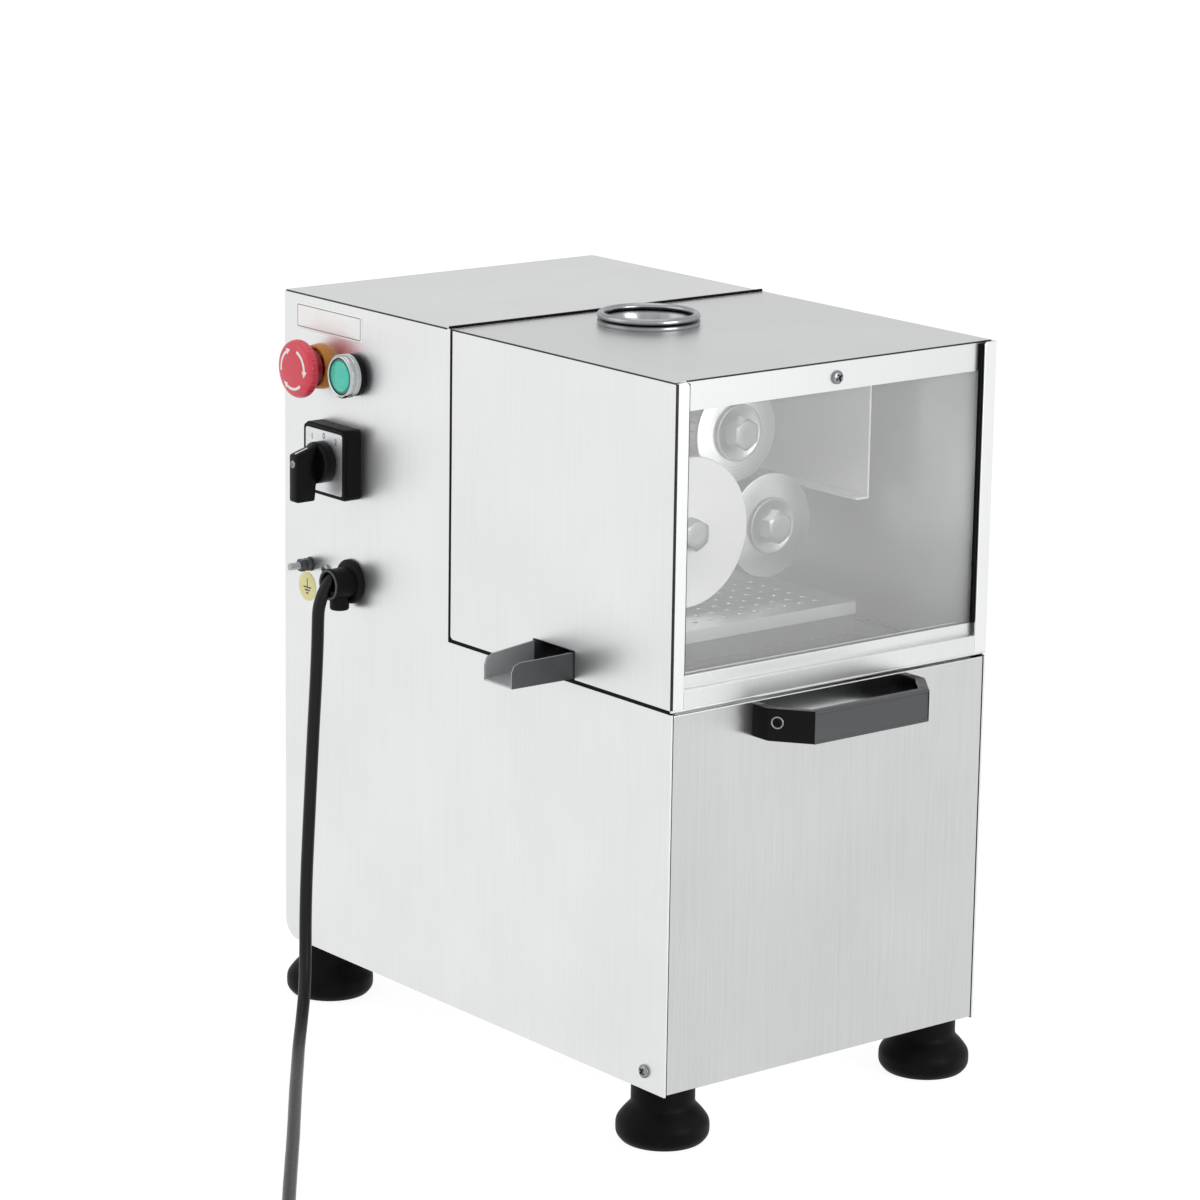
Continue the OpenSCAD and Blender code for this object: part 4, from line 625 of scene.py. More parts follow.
# Inside the spout the tone is lighter between the two walls, as painted light in the narrow channel. The
# walls stand 20.5 mm from the spout's middle at the panel and draw in by 0.136 mm for each millimetre further
# out.
spout_y = -0.0735
draw_in = 0.136
place = add_node(tree, "TexCoord")
parts = add_node(tree, "SeparateXYZ", {"Vector": place.outputs["Object"]})
off = add_node(tree, "Math", {0: parts.outputs["Y"], 1: -spout_y}, operation="ADD")
off = add_node(tree, "Math", {0: off}, operation="ABSOLUTE")
run_out = add_node(tree, "Math", {0: parts.outputs["X"], 1: -x_left / 1000}, operation="ADD")
wall = add_node(tree, "Math", {0: run_out, 1: -draw_in, 2: off}, operation="MULTIPLY_ADD")
inside = remap(tree, wall, (0.0197, 0.0201), (1.0, 0.0))
outside = remap(tree, run_out, (-0.001, 0.0), (1.0, 0.0))
painted_shading_mask = add_node(tree, "Math", {0: inside, 1: outside}, operation="MULTIPLY")
skin = shader.inputs["Base Color"].links[0].from_socket
feed(shader, {"Base Color": blend(tree, painted_shading_mask, skin, linear("#b4b6b8"))})
dress(("juice_tray",), tray_shade_and_light_steel, 0.3)
strainer_steel = brushed_steel("perforated_stainless_plate", "#eeefef", "#dfe1e2", 0.4, 0.5, tray_streak)
dress(("strainer_plate",), strainer_steel, 0.25)
dress(("splash_guide",), blasted_finish, 0.25)

# Acetal: milky white and waxy, with faint saw marks 4 mm apart.
acetal_finish, tree, shader, spot = new_finish("white_acetal_strip", "#dedbd2", 0.45, Subsurface_Weight=0.1)
saw = add_node(tree, "TexWave", {"Vector": spot, "Scale": 80.0, "Distortion": 2.0}, bands_direction="Y")
feed(shader, {"Roughness": remap(tree, saw.outputs["Fac"], (0, 1), (0.38, 0.55))})
dress(("drawer_runners",), acetal_finish, 0.5)

# Hood. Two folded side sheets, a top with its brow and a sill rail make a frame round the clear window; all
# are brushed stainless, pressed onto a black gasket and held by screws.
x_right = 149.5
# The top and the sill get a darker copy of the brushed sheet than the hood's sides: painted shade on them.
hood_shaded_steel = brushed_steel("brushed_stainless_hood_painted_shade", "#dadbdb", "#d3d4d4", 0.3, 0.38, upright_streak)
dress(("hood_left_side", "hood_right_side"), shell_steel, 0.45)
dress(("hood_top", "hood_sill"), hood_shaded_steel, 0.45)

# Hem of the sill: the sheet's lower edge is rolled under to 1.6 mm, so that only a thin seam shows above
# the drawer.
hem_ends = np.array([(x_left + 0.3, -190.2, 287.85), (x_right - 0.3, -190.2, 287.85)])
make_piece("sill_hem", [tube(hem_ends, 0.8, 16, (0, 0, 1))],
           hood_shaded_steel, "cabinet", "stainless_sheet", sharp=60)

# Acrylic: clear, dulled by a milky haze of wiping, in soft clouds about 90 mm wide.
pane_finish, tree, shader, spot = new_finish("clear_acrylic_pane", "#fbfcfc", 0.06, IOR=1.49)
wipe = noise(tree, spot, 11.0, 1.0)
feed(shader, {"Alpha": remap(tree, wipe, (0.3, 0.7), (0.15, 0.17))})
dress(("window_pane",), pane_finish)

# Pane edge strips. Black extruded rubber along both upright edges of the pane, pressed in between it and
# the stiles.


def box_ring(wide, high, cut):
    """Rectangle with round corners, centred on zero, as one closed outline."""
    w = wide / 2
    h = high / 2
    return rounded([(-w, -h), (w, -h), (w, h), (-w, h)], cut, True)


def prism(outline, rows, middle=(0, 0)):
    """A closed outline carried upwards: in each row (inset, height) every point moves in along its own
    normal by the inset; both ends close towards the middle."""
    ahead = unit(np.roll(outline, -1, 0) - np.roll(outline, 1, 0))
    normal = np.stack((ahead[:, 1], -ahead[:, 0]), -1)
    rows = np.array(rows, float)
    flat = outline - rows[:, :1, None] * normal
    grid = np.concatenate((flat, np.broadcast_to(rows[:, 1:, None], flat.shape[:2] + (1,))), -1)
    return capped(grid, (*middle, rows[0, 1]), (*middle, rows[-1, 1]))[0]


strip = prism(box_ring(9.4, 2.6, 0.7), [(0.4, 308.7), (0, 309.1), (0, 491.4), (0.4, 491.8)])
strip_in = 7.2
make_piece("pane_edge_strips", [
    placed(strip, (x, -188.1, 0), UPRIGHT) for x in (x_left + strip_in, x_right - strip_in)],
    rubber_finish, "cabinet", "black_rubber")

# Gasket lip and fold lines. The gasket stands up 1.6 mm between the two tops. Thin tubes along the sheet's
# bends are painted shade on the folds: dark on the left and along the brow, lighter grey on the right and at
# the back.
lip = prism(box_ring(2.2, 4.2, 0.7), [(0.4, -115.2), (0, -114.8), (0, 148.8), (0.4, 149.2)])
make_piece("gasket_lip", [
    placed(lip, (0, 39.2, 492.5), ((0, -1, 0), (0, 0, 1), (1, 0, 0)))],
    rubber_finish, "cabinet", "black_rubber")
# Fold lines: painted shade along the bends.
fold_z = 492.6
fold_l = x_left + 0.4
fold_r = x_right - 0.4
painted_dark_shade_folds = (
    ((fold_l, 41.2, fold_z), (fold_l, 222.0, fold_z), 0.6),
    ((fold_l, 37.4, fold_z), (fold_l, -190.4, fold_z), 0.6),
    ((-104.6, -186.1, fold_z), (149.0, -186.1, fold_z), 0.6),
    ((-115.0, -190.5, 492.8), (-115.0, -190.5, 289.0), 0.95))
painted_soft_shade_folds = (
    ((fold_r, 41.2, fold_z), (fold_r, 222.0, fold_z), 0.45),
    ((fold_r, 37.4, fold_z), (fold_r, -190.4, fold_z), 0.45),
    ((fold_r, -190.5, 492.8), (fold_r, -190.5, 289.0), 0.45),
    ((-114.8, 223.4, fold_z), (148.8, 223.4, fold_z), 0.45))
for name, folds, metal, light, dark in (
        ("painted_shade_fold_lines", painted_dark_shade_folds, "painted_dark_fold_shade", "#3c3e40", "#2c2e30"),
        ("painted_soft_shade_fold_lines", painted_soft_shade_folds, "painted_soft_fold_shade", "#9a9c9e", "#8a8c8e")):
    fold_shade_finish = brushed_steel(metal, light, dark, 0.35, 0.5, (2, 2, 2))
    fold_grids = [tube(np.array((start, end)), thick, 12, (0.6, 0.6, 0.53)) for start, end, thick in folds]
    make_piece(name, fold_grids, fold_shade_finish, "cabinet", "stainless_sheet", sharp=60)

# Feed ring. A stainless ring, rolled to two round beads above the top sheet, with a thin guide tube below
# it that is cut back round the upper roller.
feed_at = (5, -16, 0)
bead_mid = 31.2
bead_r = 2.5
guide_in = 27.5
guide_mid = 28.2
guide_out = 29
guide_low = 447
roller_room = 38.5
tube_turn = full_turn(96)
ones = np.ones((1, 96))
low_turn = np.linspace(-0.5 * np.pi, 0.3 * np.pi, 10)
top_turn = np.linspace(-0.3 * np.pi, 1.35 * np.pi, 20)
beads = np.concatenate((bead_mid + bead_r * np.cos(low_turn), bead_mid + bead_r * np.cos(top_turn)))
bead_z = np.concatenate((494.6 + bead_r * np.sin(low_turn), 498.6 + bead_r * np.sin(top_turn)))[:, None]
tube_x = feed_at[0] + guide_mid * np.cos(tube_turn)
roller_gap = np.sqrt(np.maximum(roller_room ** 2 - (tube_x - upper_at[0]) ** 2, 0))
tube_low = np.maximum(guide_low, np.where(roller_gap > 0, upper_at[1] + roller_gap, 0))[None]
ring_r = np.concatenate((beads, [guide_in, guide_in, guide_out, guide_out]))[:, None]
ring_z = np.concatenate((bead_z * ones, 490 * ones, tube_low, tube_low, 492.9 * ones))
ring_grid = placed(ring_points(ring_r, tube_turn, ring_z), feed_at, UPRIGHT)[0]
# The ring's steel is toned down to dark grey: painted shade for the dark reflections in its polished beads.
ring_shade_finish = brushed_steel("polished_stainless_ring_painted_shade", "#a4a7aa", "#8d9093", 0.22, 0.28, (6, 6, 6))

# Painted shade in the groove between the beads: full within 0.5 mm of the groove's middle, and gone at 1.9
# mm.
groove_z = 0.4966
tree = ring_shade_finish.node_tree
shader = tree.nodes["Principled BSDF"]
place = add_node(tree, "TexCoord")
parts = add_node(tree, "SeparateXYZ", {"Vector": place.outputs["Object"]})
off = add_node(tree, "Math", {0: parts.outputs["Z"], 1: -groove_z}, operation="ADD")
off = add_node(tree, "Math", {0: off}, operation="ABSOLUTE")
painted_shading_mask = remap(tree, off, (0.0005, 0.0019), (1.0, 0.0))
skin = shader.inputs["Base Color"].links[0].from_socket
feed(shader, {"Base Color": blend(tree, painted_shading_mask, skin, linear("#161718"))})
make_piece("feed_ring", [(ring_grid, True, True)], ring_shade_finish, "cabinet", "stainless_sheet", "feed_collar")

# Case screws. Zinc-plated pan-head screws with a cross recess, driven into the sheet: in the middle of the
# brow, at the lower front corners, and beside the cable gland.
LEFTWARD = ((0, 0, 1), (0, 1, 0), (-1, 0, 0))
RIGHTWARD = ((0, 0, 1), (0, -1, 0), (1, 0, 0))


def pan_head(at, axes, r, high, twist):
    """Pan head, closed underneath: height h (1 - 0.5 (d / r)4) at distance d from the middle, less a cross
    0.72 h deep, whose arms are where one side is within 0.17 r and the other within 0.55 r, softly edged."""
    d = (np.concatenate((np.linspace(0, 0.96, 20), [1.0, 1.0, 0.0])) * r)[:, None]
    t = full_turn(80)
    x = np.abs(d * np.cos(t - twist))
    y = np.abs(d * np.sin(t - twist))
    arm_x = ease((0.2 * r - x) / (0.07 * r)) * ease((0.6 * r - y) / (0.12 * r))
    arm_y = ease((0.2 * r - y) / (0.07 * r)) * ease((0.6 * r - x) / (0.12 * r))
    height = high * (1 - 0.5 * (d / r) ** 4) - 0.72 * high * np.maximum(arm_x, arm_y)
    height[-3:] = np.array((high * 0.4, 0, 0))[:, None]
    return placed(ring_points(d, t, height), at, axes)


# Zinc plate: grey and fairly bright, with scuffs of about 1.5 mm.
screw_finish = grained("zinc_plated_screw", "#8d8f91", 700.0, 4.0, 0.16, 0.36, Metallic=1.0)
make_piece("cross_recess_screws", [
    pan_head(at, axes, 4.4, 2.6, twist) for at, axes, twist in (
        ((17, -186.5, 482.6), FORWARD, 0.5), ((x_left, -171.5, 50.5), LEFTWARD, 0.9),
        ((x_right, -171.5, 50.5), RIGHTWARD, 0.2), ((x_left, 175, 308), LEFTWARD, 1.2))],
    screw_finish, "cabinet", "bright_steel", "case_screws", sharp=45)

# Drawer handle. Two gloss black plastic end pieces with a straight leg and a chamfer, screwed through the
# chamfer, and a flat satin bar with a raised lip along its upper and lower edge.


def carried(path, ring, up, last=None):
    """A closed outline carried along a path, mitred where it turns: the outline's first side runs across
    the path, stretched by 1 / cos of half the turn, and its second side along up; closed at both ends. last
    is the way on past the end, for an end cut to a mitre."""
    ahead = unit(np.diff(path, axis=0))
    into = np.vstack((ahead[:1], ahead))
    out = np.vstack((ahead, ahead[-1:] if last is None else [last]))
    across = unit(np.cross(unit(into + out), up))
    stretch = 1 / np.sqrt((1 + np.sum(into * out, axis=1)) / 2)
    grid = path[:, None] + ring[:, :1] * (across * stretch[:, None])[:, None] + ring[:, 1:] * np.array(up)
    return capped(grid, path[0], path[-1])


# Gloss ABS: deep black with a clear, nearly smooth skin and wear marks about 12 mm wide.
gloss_finish = grained("gloss_black_abs", "#060606", 85.0, 5.0, 0.1, 0.3, spread=(0.35, 0.75),
                       Specular_IOR_Level=0.12)
handle_mid = np.array((17, -191, 273))
bar_half = 46.28
bar_out = 34.5
end_path = np.array([(63.0, 0.0), (63.0, 12.1), (62.55, 13.4), (bar_half, bar_out)])
end_grids = []
for way in (-1, 1):
    track = handle_mid + np.column_stack((way * end_path[:, 0], -end_path[:, 1], np.zeros(len(end_path))))
    end_grids.append(carried(track, box_ring(7, 21, 1.2), (0, 0, 1), (-way, 0, 0)))
make_piece("handle_end_pieces", end_grids, gloss_finish, "drawer", "handle_black", "handle_ends", sharp=30)

# Satin bar: dark grey, drawn through a die, so fine lines run along it, shown here 0.8 mm wide.
bar_finish, tree, shader, spot = new_finish("satin_dark_bar", "#4f5153", 0.4, Metallic=0.8)
pull = add_node(tree, "Mapping", {"Vector": spot, "Scale": (12, 1250, 1250)})
lines = noise(tree, pull, 1.0, 3.0)
feed(shader, {"Roughness": remap(tree, lines, (0.3, 0.7), (0.3, 0.5))})
bar_ring = rounded([
    (-3.5, -10.5), (3.5, -10.5), (3.5, -8.9), (2.9, -8.3), (2.9, 8.3), (3.5, 8.9), (3.5, 10.5), (-3.5, 10.5)],
    (1, 0.6, 0.3, 0.3, 0.3, 0.3, 0.6, 1), True)
bar_track = handle_mid + np.array([(x, -bar_out, 0) for x in (-bar_half, -20, 20, bar_half)])
bar_grid, *closed = carried(bar_track, bar_ring, (0, 0, 1))

# The bar's ends are cut to the mitre of the end pieces, 0.492 mm along for each millimetre out.
mitre = 0.492
outward = bar_track[0, 1] - bar_grid[..., 1]
bar_grid[:2, :, 0] -= mitre * outward[:2]
bar_grid[-2:, :, 0] += mitre * outward[-2:]
make_piece("handle_flat_bar", [(bar_grid, *closed)],
           bar_finish, "drawer", "handle_black", "handle_bar", sharp=30)
chamfer_x = 0.792
chamfer_y = 0.6105
screw_grids = []
rim_grids = []
for way in (-1, 1):
    axes = ((chamfer_y, chamfer_x * way, 0), (0, 0, 1), (chamfer_x * way, -chamfer_y, 0))
    screw_at = handle_mid + np.array((62.5 * way, -19.15, 2))
    screw_grids.append(pan_head(screw_at, axes, 3.0, 1.0, 0.4))
    rim_grids.append(turned([(2.9, 0), (4.1, 0), (4.1, 0.9), (3.1, 0.9), (2.9, 0)], [0, 0.1, 0.4, 0.3, 0],
                            screw_at, axes, 48))
make_piece("handle_screws", screw_grids, gloss_finish, "drawer", "handle_black", sharp=45)
make_piece("handle_screw_rims", rim_grids, screw_finish, "drawer", "bright_steel", sharp=45)

# Emergency stop. A 40 mm mushroom head of red ABS with a dotted grip round its rim and three white turn
# arrows, on a neck that slides in an orange collar on the left panel; the neck's darker red is painted shade
# under the head.
stop_at = (x_left, 181.5, 447)


def moulded_plastic(name, light, dark, low, high, **sockets):
    """Moulded ABS: a smooth skin whose gloss runs from low to high in faint flow marks about 6 mm wide, and
    whose tone moves a little from light to dark."""
    return grained(name, light, 160.0, 4.0, low, high, dark, spread=(0.3, 0.7), **sockets)


orange_finish = moulded_plastic("orange_abs", "#d08a30", "#b97724", 0.3, 0.45)
make_piece("stop_collar", [turned(
    [(6.9, 0), (15.5, 0), (14.6, 6), (12.7, 6), (12.7, 1), (6.9, 1), (6.9, 0)], [0, 0.3, 0.8, 0.3, 0.2, 0, 0],
    stop_at, LEFTWARD)], orange_finish, "cabinet", "collar_orange", "estop_collar")
# The neck's darker red is painted shade under the head.
neck_shade_finish = moulded_plastic("red_abs_painted_shade", "#9c2331", "#861a28", 0.3, 0.45)
make_piece("stop_neck", [turned(
    [(0, -22), (6, -22), (6, 7), (12.4, 7), (12.4, 12), (4, 12), (4, 17), (0, 17)],
    [0, 0.6, 0.3, 0.5, 0.2, 0, 0.3, 0], stop_at, LEFTWARD)],
    neck_shade_finish, "estop_plunger", "stop_red", "estop_stem")

# The head's profile, with 40 columns of three dots between the two halves of it.
rim_r = 19.2
dot_columns = 40
head_rows = rounded([(4.1, 17), (4.1, 12), (12.4, 12), (rim_r, 15.6), (rim_r, 20.4), (18.2, 22), (15.5, 23),
                     (10, 23.6), (0, 23.8)], [0, 0, 0.4, 0.6, 0.6, 0.8, 1.5, 3, 0], False)
head_turn = full_turn(320)
ones = np.ones(320)
grip_z = np.array((16.4, 17, 17.6, 18.2, 18.8, 19.4, 20))
grip_dots = np.array((0, 0.45, 0.1, 0.45, 0.1, 0.45, 0))[:, None]
grip_r = rim_r + grip_dots * np.maximum(np.cos(dot_columns * head_turn), 0)
before_grip = np.vstack(((0, 17), head_rows[head_rows[:, 1] <= 16.2]))
after_grip = head_rows[head_rows[:, 1] > 20.2]
head_r = np.vstack((before_grip[:, :1] * ones, grip_r, after_grip[:, :1] * ones))
head_h = np.concatenate((before_grip[:, 1], grip_z, after_grip[:, 1]))[:, None]
red_finish = moulded_plastic("red_abs", "#de3a50", "#d02d45", 0.26, 0.4, Coat_Weight=0.2)
make_piece("stop_head", [placed(ring_points(head_r, head_turn, head_h), stop_at, LEFTWARD)],
           red_finish, "estop_cap", "stop_red", "estop_head")


def turn_arrow(start):
    """Curved arrow on the head: a band round the axis from start, 88 degrees clockwise, whose half width
    goes from 0.9 mm to a 2.3 mm head and down to its point, 0.1 mm above the dome under it."""
    along = np.concatenate((np.linspace(0, 0.78, 18), np.linspace(0.781, 1, 8)))[:, None]
    half = np.where(along <= 0.78, 0.9, 2.3 * (1 - along) / 0.219)
    r = 13.2 + half * np.linspace(-1, 1, 5)[None]
    a = start - np.radians(88) * along
    h = np.interp(r, after_grip[::-1, 0], after_grip[::-1, 1])
    top = ring_points(r, a, h + 0.1)
    under = ring_points(r, a, h - 0.05)
    return placed(np.concatenate((top, under[:, ::-1]), 1), stop_at, LEFTWARD)


# Pad print: matt white ink with a soft edge.
print_finish = moulded_plastic("white_pad_print", "#f4f4f2", "#e8e8e6", 0.45, 0.6)
make_piece("stop_arrows", [turn_arrow(np.radians(a)) for a in (100, 220, 340)],
           print_finish, "estop_cap", "face_silver")

# Power button. A chrome bezel with a rolled rim on a black collar, and a green acrylic lens whose outer ring
# is painted a darker green, as painted shade at the lens's rim.
button_at = (x_left, 143, 447)

# Chrome plate: a bright mirror with faint wiping marks of about 4 mm.
chrome_finish = grained("chrome_plated_brass", "#b9bcbe", 260.0, 4.0, 0.05, 0.16, Metallic=1.0)
make_piece("chrome_bezel", [turned(
    [(12.1, 5), (14.7, 5), (14.7, 7.6), (14.2, 8), (14.7, 8.4), (14.7, 11.6), (13.3, 13), (12.1, 12.4),
     (12.1, 5)],
    [0, 0.2, 0.2, 0.2, 0.2, 0.9, 0.7, 0.3, 0], button_at, LEFTWARD, 96)],
    chrome_finish, "cabinet", "bezel_chrome", "button_bezel")

# Lens acrylic: teal green, glossy, lit from inside by scattered light, with a prism texture of 1.2 mm.
lens_finish, tree, shader, spot = new_finish(
    "green_acrylic_lens", "#4ccfb4", 0.14, IOR=1.49, Subsurface_Weight=0.35)
shader.inputs["Subsurface Radius"].default_value = (0.001, 0.002, 0.0018)
prism_cells = add_node(tree, "TexVoronoi", {"Vector": spot, "Scale": 830.0})
feed(shader, {"Base Color": blend(tree, prism_cells, linear("#58dac6"), linear("#3cbfa9"))})
make_piece("power_lens", [turned(
    [(0, 4.2), (10.2, 4.2), (10.2, 12.1), (6, 12.6), (0, 12.8)], [0, 0, 0.5, 2, 0], button_at, LEFTWARD, 72)],
    lens_finish, "power_button", "lens_green", "power_button")
# The lens's outer ring is a darker copy of the green acrylic: painted shade at the rim.
lens_rim_shade_finish = moulded_plastic("green_acrylic_painted_shade", "#1f8f78", "#187a66", 0.16, 0.26)
make_piece("lens_ring", [
    turned([(10.0, 4.5), (11.8, 4.5), (11.8, 11.5), (11.2, 11.9), (10.5, 11.7), (10.0, 11.7), (10.0, 4.5)],
           [0, 0.2, 0.3, 0.2, 0.1, 0.1, 0], button_at, LEFTWARD, 72),
    turned([(0, -22), (4.5, -22), (4.5, 5), (0, 5)], [0, 0.5, 0, 0], button_at, LEFTWARD, 32)],
    lens_rim_shade_finish, "power_button", "lens_green")

# Selector switch. A square black nylon frame with a satin silver face plate that carries the position
# numbers, and a black knob whose blade has a white index line on its sloping end.
switch_at = (x_left, 160, 387)
dress(("switch_frame",), nylon_finish, 0.5)
face_finish = brushed_steel("satin_anodised_plate", "#dfe1e2", "#cfd2d3", 0.34, 0.46, (20, 20, 0.7))
dress(("switch_plate",), face_finish)
knob_finish = moulded_plastic("black_knob_abs", "#080808", "#0d0d0d", 0.26, 0.4, Specular_IOR_Level=0.12)
blade = rounded([(13.5, 20.3), (11, 25.3), (7.5, 37), (6.5, 38), (-24, 38), (-25, 37), (-25, 23), (-13.5, 22),
                 (-13.5, 20.3)], (0.5, 1.5, 0.8, 0.8, 0.9, 0.9, 1.5, 1.2, 0.4), True)
blade_rows = [(0.9, -4.25), (0.3, -4.1), (0, -3.5), (0, 3.5), (0.3, 4.1), (0.9, 4.25)]
blade_local = prism(blade, blade_rows, (-6, 28))[..., (0, 2, 1)]
make_piece("selector_blade_knob", [
    turned([(0, -20), (4, -20), (4, 13.3), (14, 13.3), (14, 20.3), (13, 21.3), (0, 21.3)],
           [0, 0.5, 0.2, 0.3, 0.6, 0.6, 0], switch_at, LEFTWARD),
    placed(blade_local, switch_at, LEFTWARD)],
    knob_finish, "selector_knob", "black_plastic", "selector_knob", sharp=32)

# Index line: a printed bar 1.4 mm wide, 0.12 mm proud of the blade's sloping end.
line_ends = np.array([(10.6, 26.4), (7.75, 36.2)])
line_out = np.array((0.958, 0.286))
line_x, line_z = (line_ends + 0.12 * line_out).T[..., None]
line_top = np.stack(np.broadcast_arrays(line_x, np.array((-0.7, 0.7)), line_z), -1)
line_under = line_top - 0.3 * np.array((line_out[0], 0, line_out[1]))
line_rings = np.concatenate((line_top, line_under[:, ::-1]), 1)
line_grid = capped(line_rings, *line_rings.mean(1))[0]
make_piece("knob_index_line", [placed(line_grid, switch_at, LEFTWARD)],
           print_finish, "selector_knob", "face_silver")
make_piece("knob_screw", [
    pan_head((x_left - 37.9, 160, 388), LEFTWARD, 2.6, 0.9, 0.3)],
    screw_finish, "selector_knob", "bright_steel", sharp=45)

# Position numbers: printed figures 4 mm high at the top of the face plate.
plate_face = 13.02
mark_finish = moulded_plastic("black_plate_print", "#1a1a1b", "#262627", 0.5, 0.6)
for figure, side, height in (("1", -13.5, 15.0), ("0", 0.0, 17.2), ("2", 13.5, 15.0)):
    words = bpy.data.curves.new("figure_" + figure, "FONT")
    words.body = figure
    words.size = 0.0058
    words.align_x = "CENTER"
    words.align_y = "CENTER"
    words.extrude = 0.00005
    draft = bpy.data.objects.new("draft_figure_" + figure, words)
    scene.collection.objects.link(draft)
    bpy.context.view_layer.update()
    figure_mesh = bpy.data.meshes.new_from_object(draft.evaluated_get(bpy.context.evaluated_depsgraph_get()))
    bpy.data.objects.remove(draft)
    figure_mesh.transform(Matrix((
        (0, 0, -1, (x_left - plate_face) / 1000), (-1, 0, 0, (switch_at[1] - side) / 1000),
        (0, 1, 0, (switch_at[2] + height) / 1000), (0, 0, 0, 1))))
    figure_mesh.materials.clear()
    figure_mesh.materials.append(mark_finish)
    number = bpy.data.objects.new("position_number_" + figure, figure_mesh)
    scene.collection.objects.link(number)
    settle(number, "cabinet", "black_plastic")

# Earth terminal. A threaded steel stud through the panel with a washer and two nuts outside and one inside,
# above a round pale yellow label with the usual earth sign.
stud_at = (x_left, 193.5, 309)
earth_at = (x_left, 197.5, 292.5)


def threaded(r, low, high, pitch, at):
    """Threaded stud: radius r less 0.3 mm times a saw between crests, which climbs one pitch a turn."""
    t = full_turn(24)
    c = np.arange(low, high, pitch / 6)[:, None]
    saw_place = (c / pitch - t / (2 * np.pi)) % 1
    radius = r - 0.6 * np.abs(saw_place - 0.5)
    radius[-2:] -= 0.35
    return placed(capped(ring_points(radius, t, c), (0, 0, low), (0, 0, c[-1, 0]))[0], at, LEFTWARD)


def hex_nut(low, high, at):
    """Hex nut 8 mm across flats: a hexagon with both rims chamfered; closed on the stud."""
    t = full_turn(72)
    corner = hexagon(t, 4)
    face = 3.8
    drop = 0.1 + (corner - face) * 0.5
    radius = np.stack(np.broadcast_arrays(0, face, corner, corner, face, 0))
    height = np.stack(np.broadcast_arrays(low, low, low + drop, high - drop, high, high))
    return placed(ring_points(radius, t, height), at, LEFTWARD)


make_piece("earth_stud_rod", [threaded(2.5, -10, 18, 0.8, stud_at)],
           bolt_finish, "cabinet", "bright_steel", "earth_stud", sharp=60)
dark_zinc_finish = brushed_steel("dull_zinc_nut", "#555758", "#434546", 0.3, 0.46, (2, 2, 2))
nut_grids = [hex_nut(low, high, stud_at) for low, high in ((1.0, 5.0), (5.6, 9.6), (-5.5, -1.5))]
washer_grid = turned([(0, 0), (4.9, 0), (4.9, 1), (0, 1)], [0, 0.15, 0.3, 0], stud_at, LEFTWARD)
make_piece("earth_stud_nuts", [*nut_grids, washer_grid],
           dark_zinc_finish, "cabinet", "bright_steel", sharp=32)
yellow_finish = moulded_plastic("pale_yellow_vinyl", "#ece6a8", "#e2db98", 0.4, 0.55)
make_piece("earth_label", [turned(
    [(0, 0), (10, 0), (10, 0.25), (0, 0.25)], [0, 0, 0.1, 0], earth_at, LEFTWARD)],
    yellow_finish, "cabinet", "face_silver")


def flat_mark(wide, high, up, at, thick):
    """Printed bar with round corners, wide along the panel, high upwards, its middle up above at."""
    local = prism(box_ring(high, wide, 0.2), [(0, thick - 0.1), (0, thick), (0.05, thick + 0.02)])
    return placed(local + np.array((up, 0, 0)), at, LEFTWARD)


make_piece("earth_sign", [
    flat_mark(wide, high, up, earth_at, 0.25)
    for wide, high, up in ((0.9, 6, 2.6), (9, 1, -0.6), (6, 1, -2.6), (3, 1, -4.6))],
    mark_finish, "cabinet", "black_plastic")

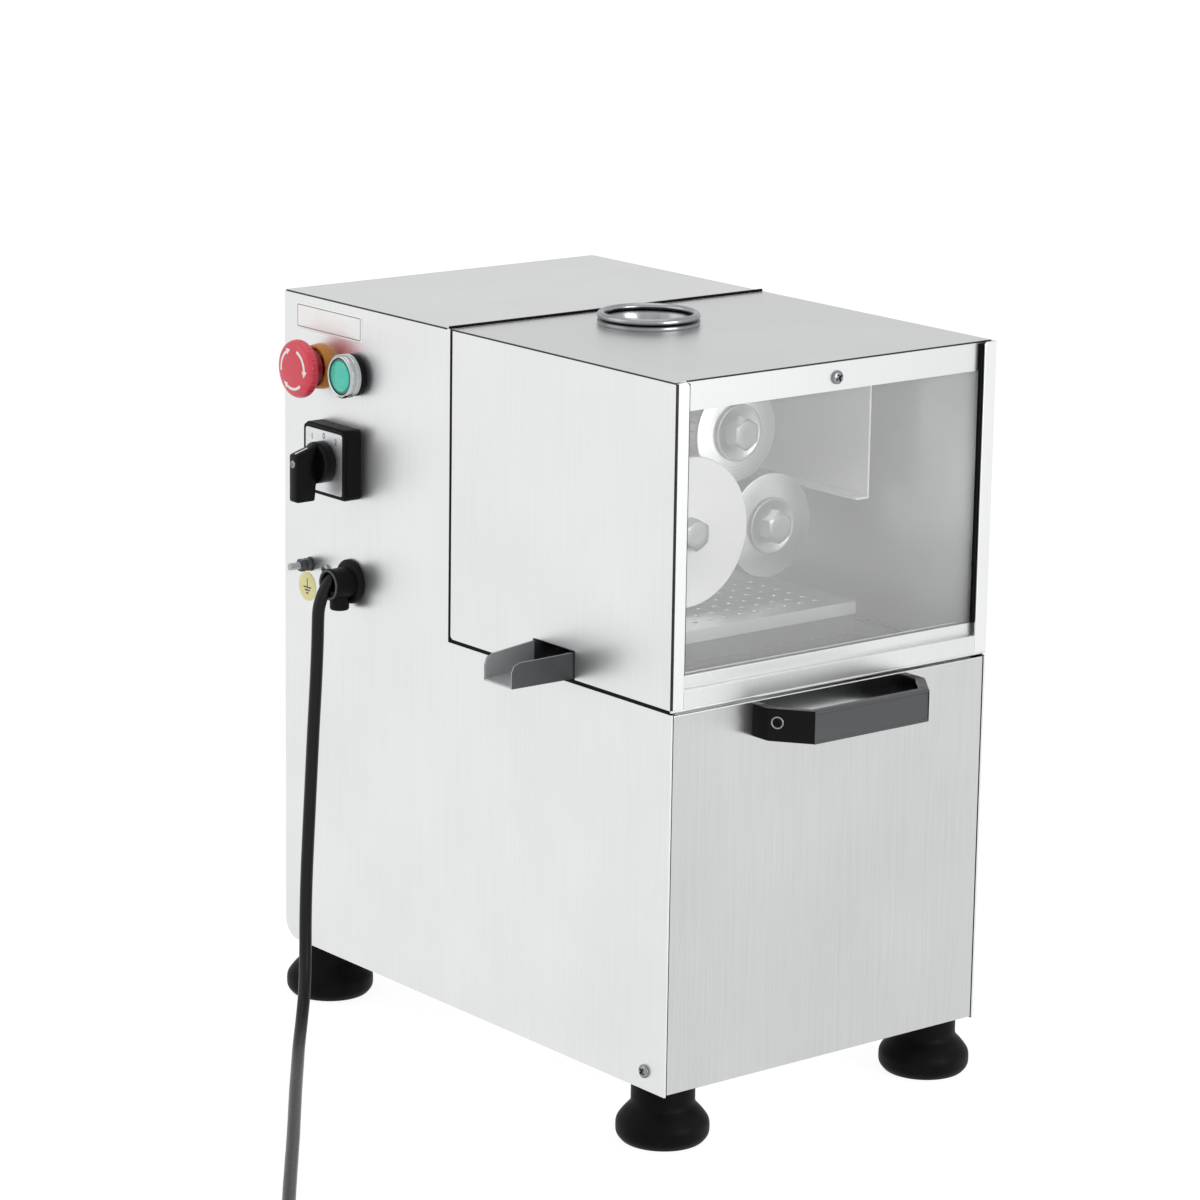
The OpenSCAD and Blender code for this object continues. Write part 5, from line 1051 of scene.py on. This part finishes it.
# Blank label. A plain white vinyl strip above the buttons, stuck flat on the panel, with a thin grey border
# printed on it.
label_at = (x_left, 172.5, 478)
grey_finish = moulded_plastic("dark_grey_rubber", "#4a4c4e", "#3e4042", 0.5, 0.65)
vinyl_finish = moulded_plastic("white_vinyl_label", "#fdfdfc", "#f7f7f6", 0.35, 0.5, Coat_Weight=0.6)
label_local = prism(box_ring(18, 76, 1.2), [(0, 0), (0, 0.15), (0.1, 0.2)])
make_piece("blank_label", [placed(label_local, label_at, LEFTWARD)], vinyl_finish, "cabinet", "face_silver")
long_sides = [flat_mark(72, 0.5, up, label_at, 0.2) for up in (7.3, -7.3)]
short_sides = [flat_mark(0.5, 14.6, 0, (x_left, label_at[1] + off, 478), 0.2) for off in (-36, 36)]
make_piece("label_border", [*long_sides, *short_sides], grey_finish, "cabinet", "face_silver")

# Cable gland. A black nylon gland with a round flange, an open barrel for the lead, a clamp boss below it
# and a locknut inside; a grey rubber ring lines its mouth.
gland_at = (x_left, 146, 306)
boss_at = (x_left - 10, 146, 300)
gland_body = turned(
    [(0, -14), (10, -14), (10, -6.5), (12.8, -6.5), (12.8, -1.5), (10, -1.5), (10, 0), (15, 0), (15, 2.5),
     (12.5, 4), (10.3, 4.3), (10.3, 16.8), (10.8, 17), (10.8, 19), (8.8, 19), (8.8, 12.2), (0, 12.2)],
    [0, 0.5, 0.1, 0.4, 0.4, 0.1, 0, 0.3, 0.6, 0.6, 0.5, 0.1, 0.1, 0.5, 0.4, 0.2, 0], gland_at, LEFTWARD, 80)
gland_boss = turned([(0, -1), (6.6, -1), (6.6, 10.8), (6, 12), (3.4, 12), (3.2, 10.4), (0, 10.4)],
                    [0, 0, 0.6, 0.8, 0.3, 0.2, 0], boss_at, ((0, -1, 0), (-1, 0, 0), (0, 0, -1)), 48)
make_piece("cable_gland_body", [gland_body, gland_boss],
           nylon_finish, "cabinet", "black_plastic", "cable_gland")
make_piece("gland_mouth_ring", [turned(
    [(8.7, 17.8), (10.2, 18.6), (10.2, 19.7), (8.7, 19.7), (8.7, 17.8)], [0, 0.2, 0.4, 0.4, 0],
    gland_at, LEFTWARD, 80)], grey_finish, "cabinet", "black_rubber")
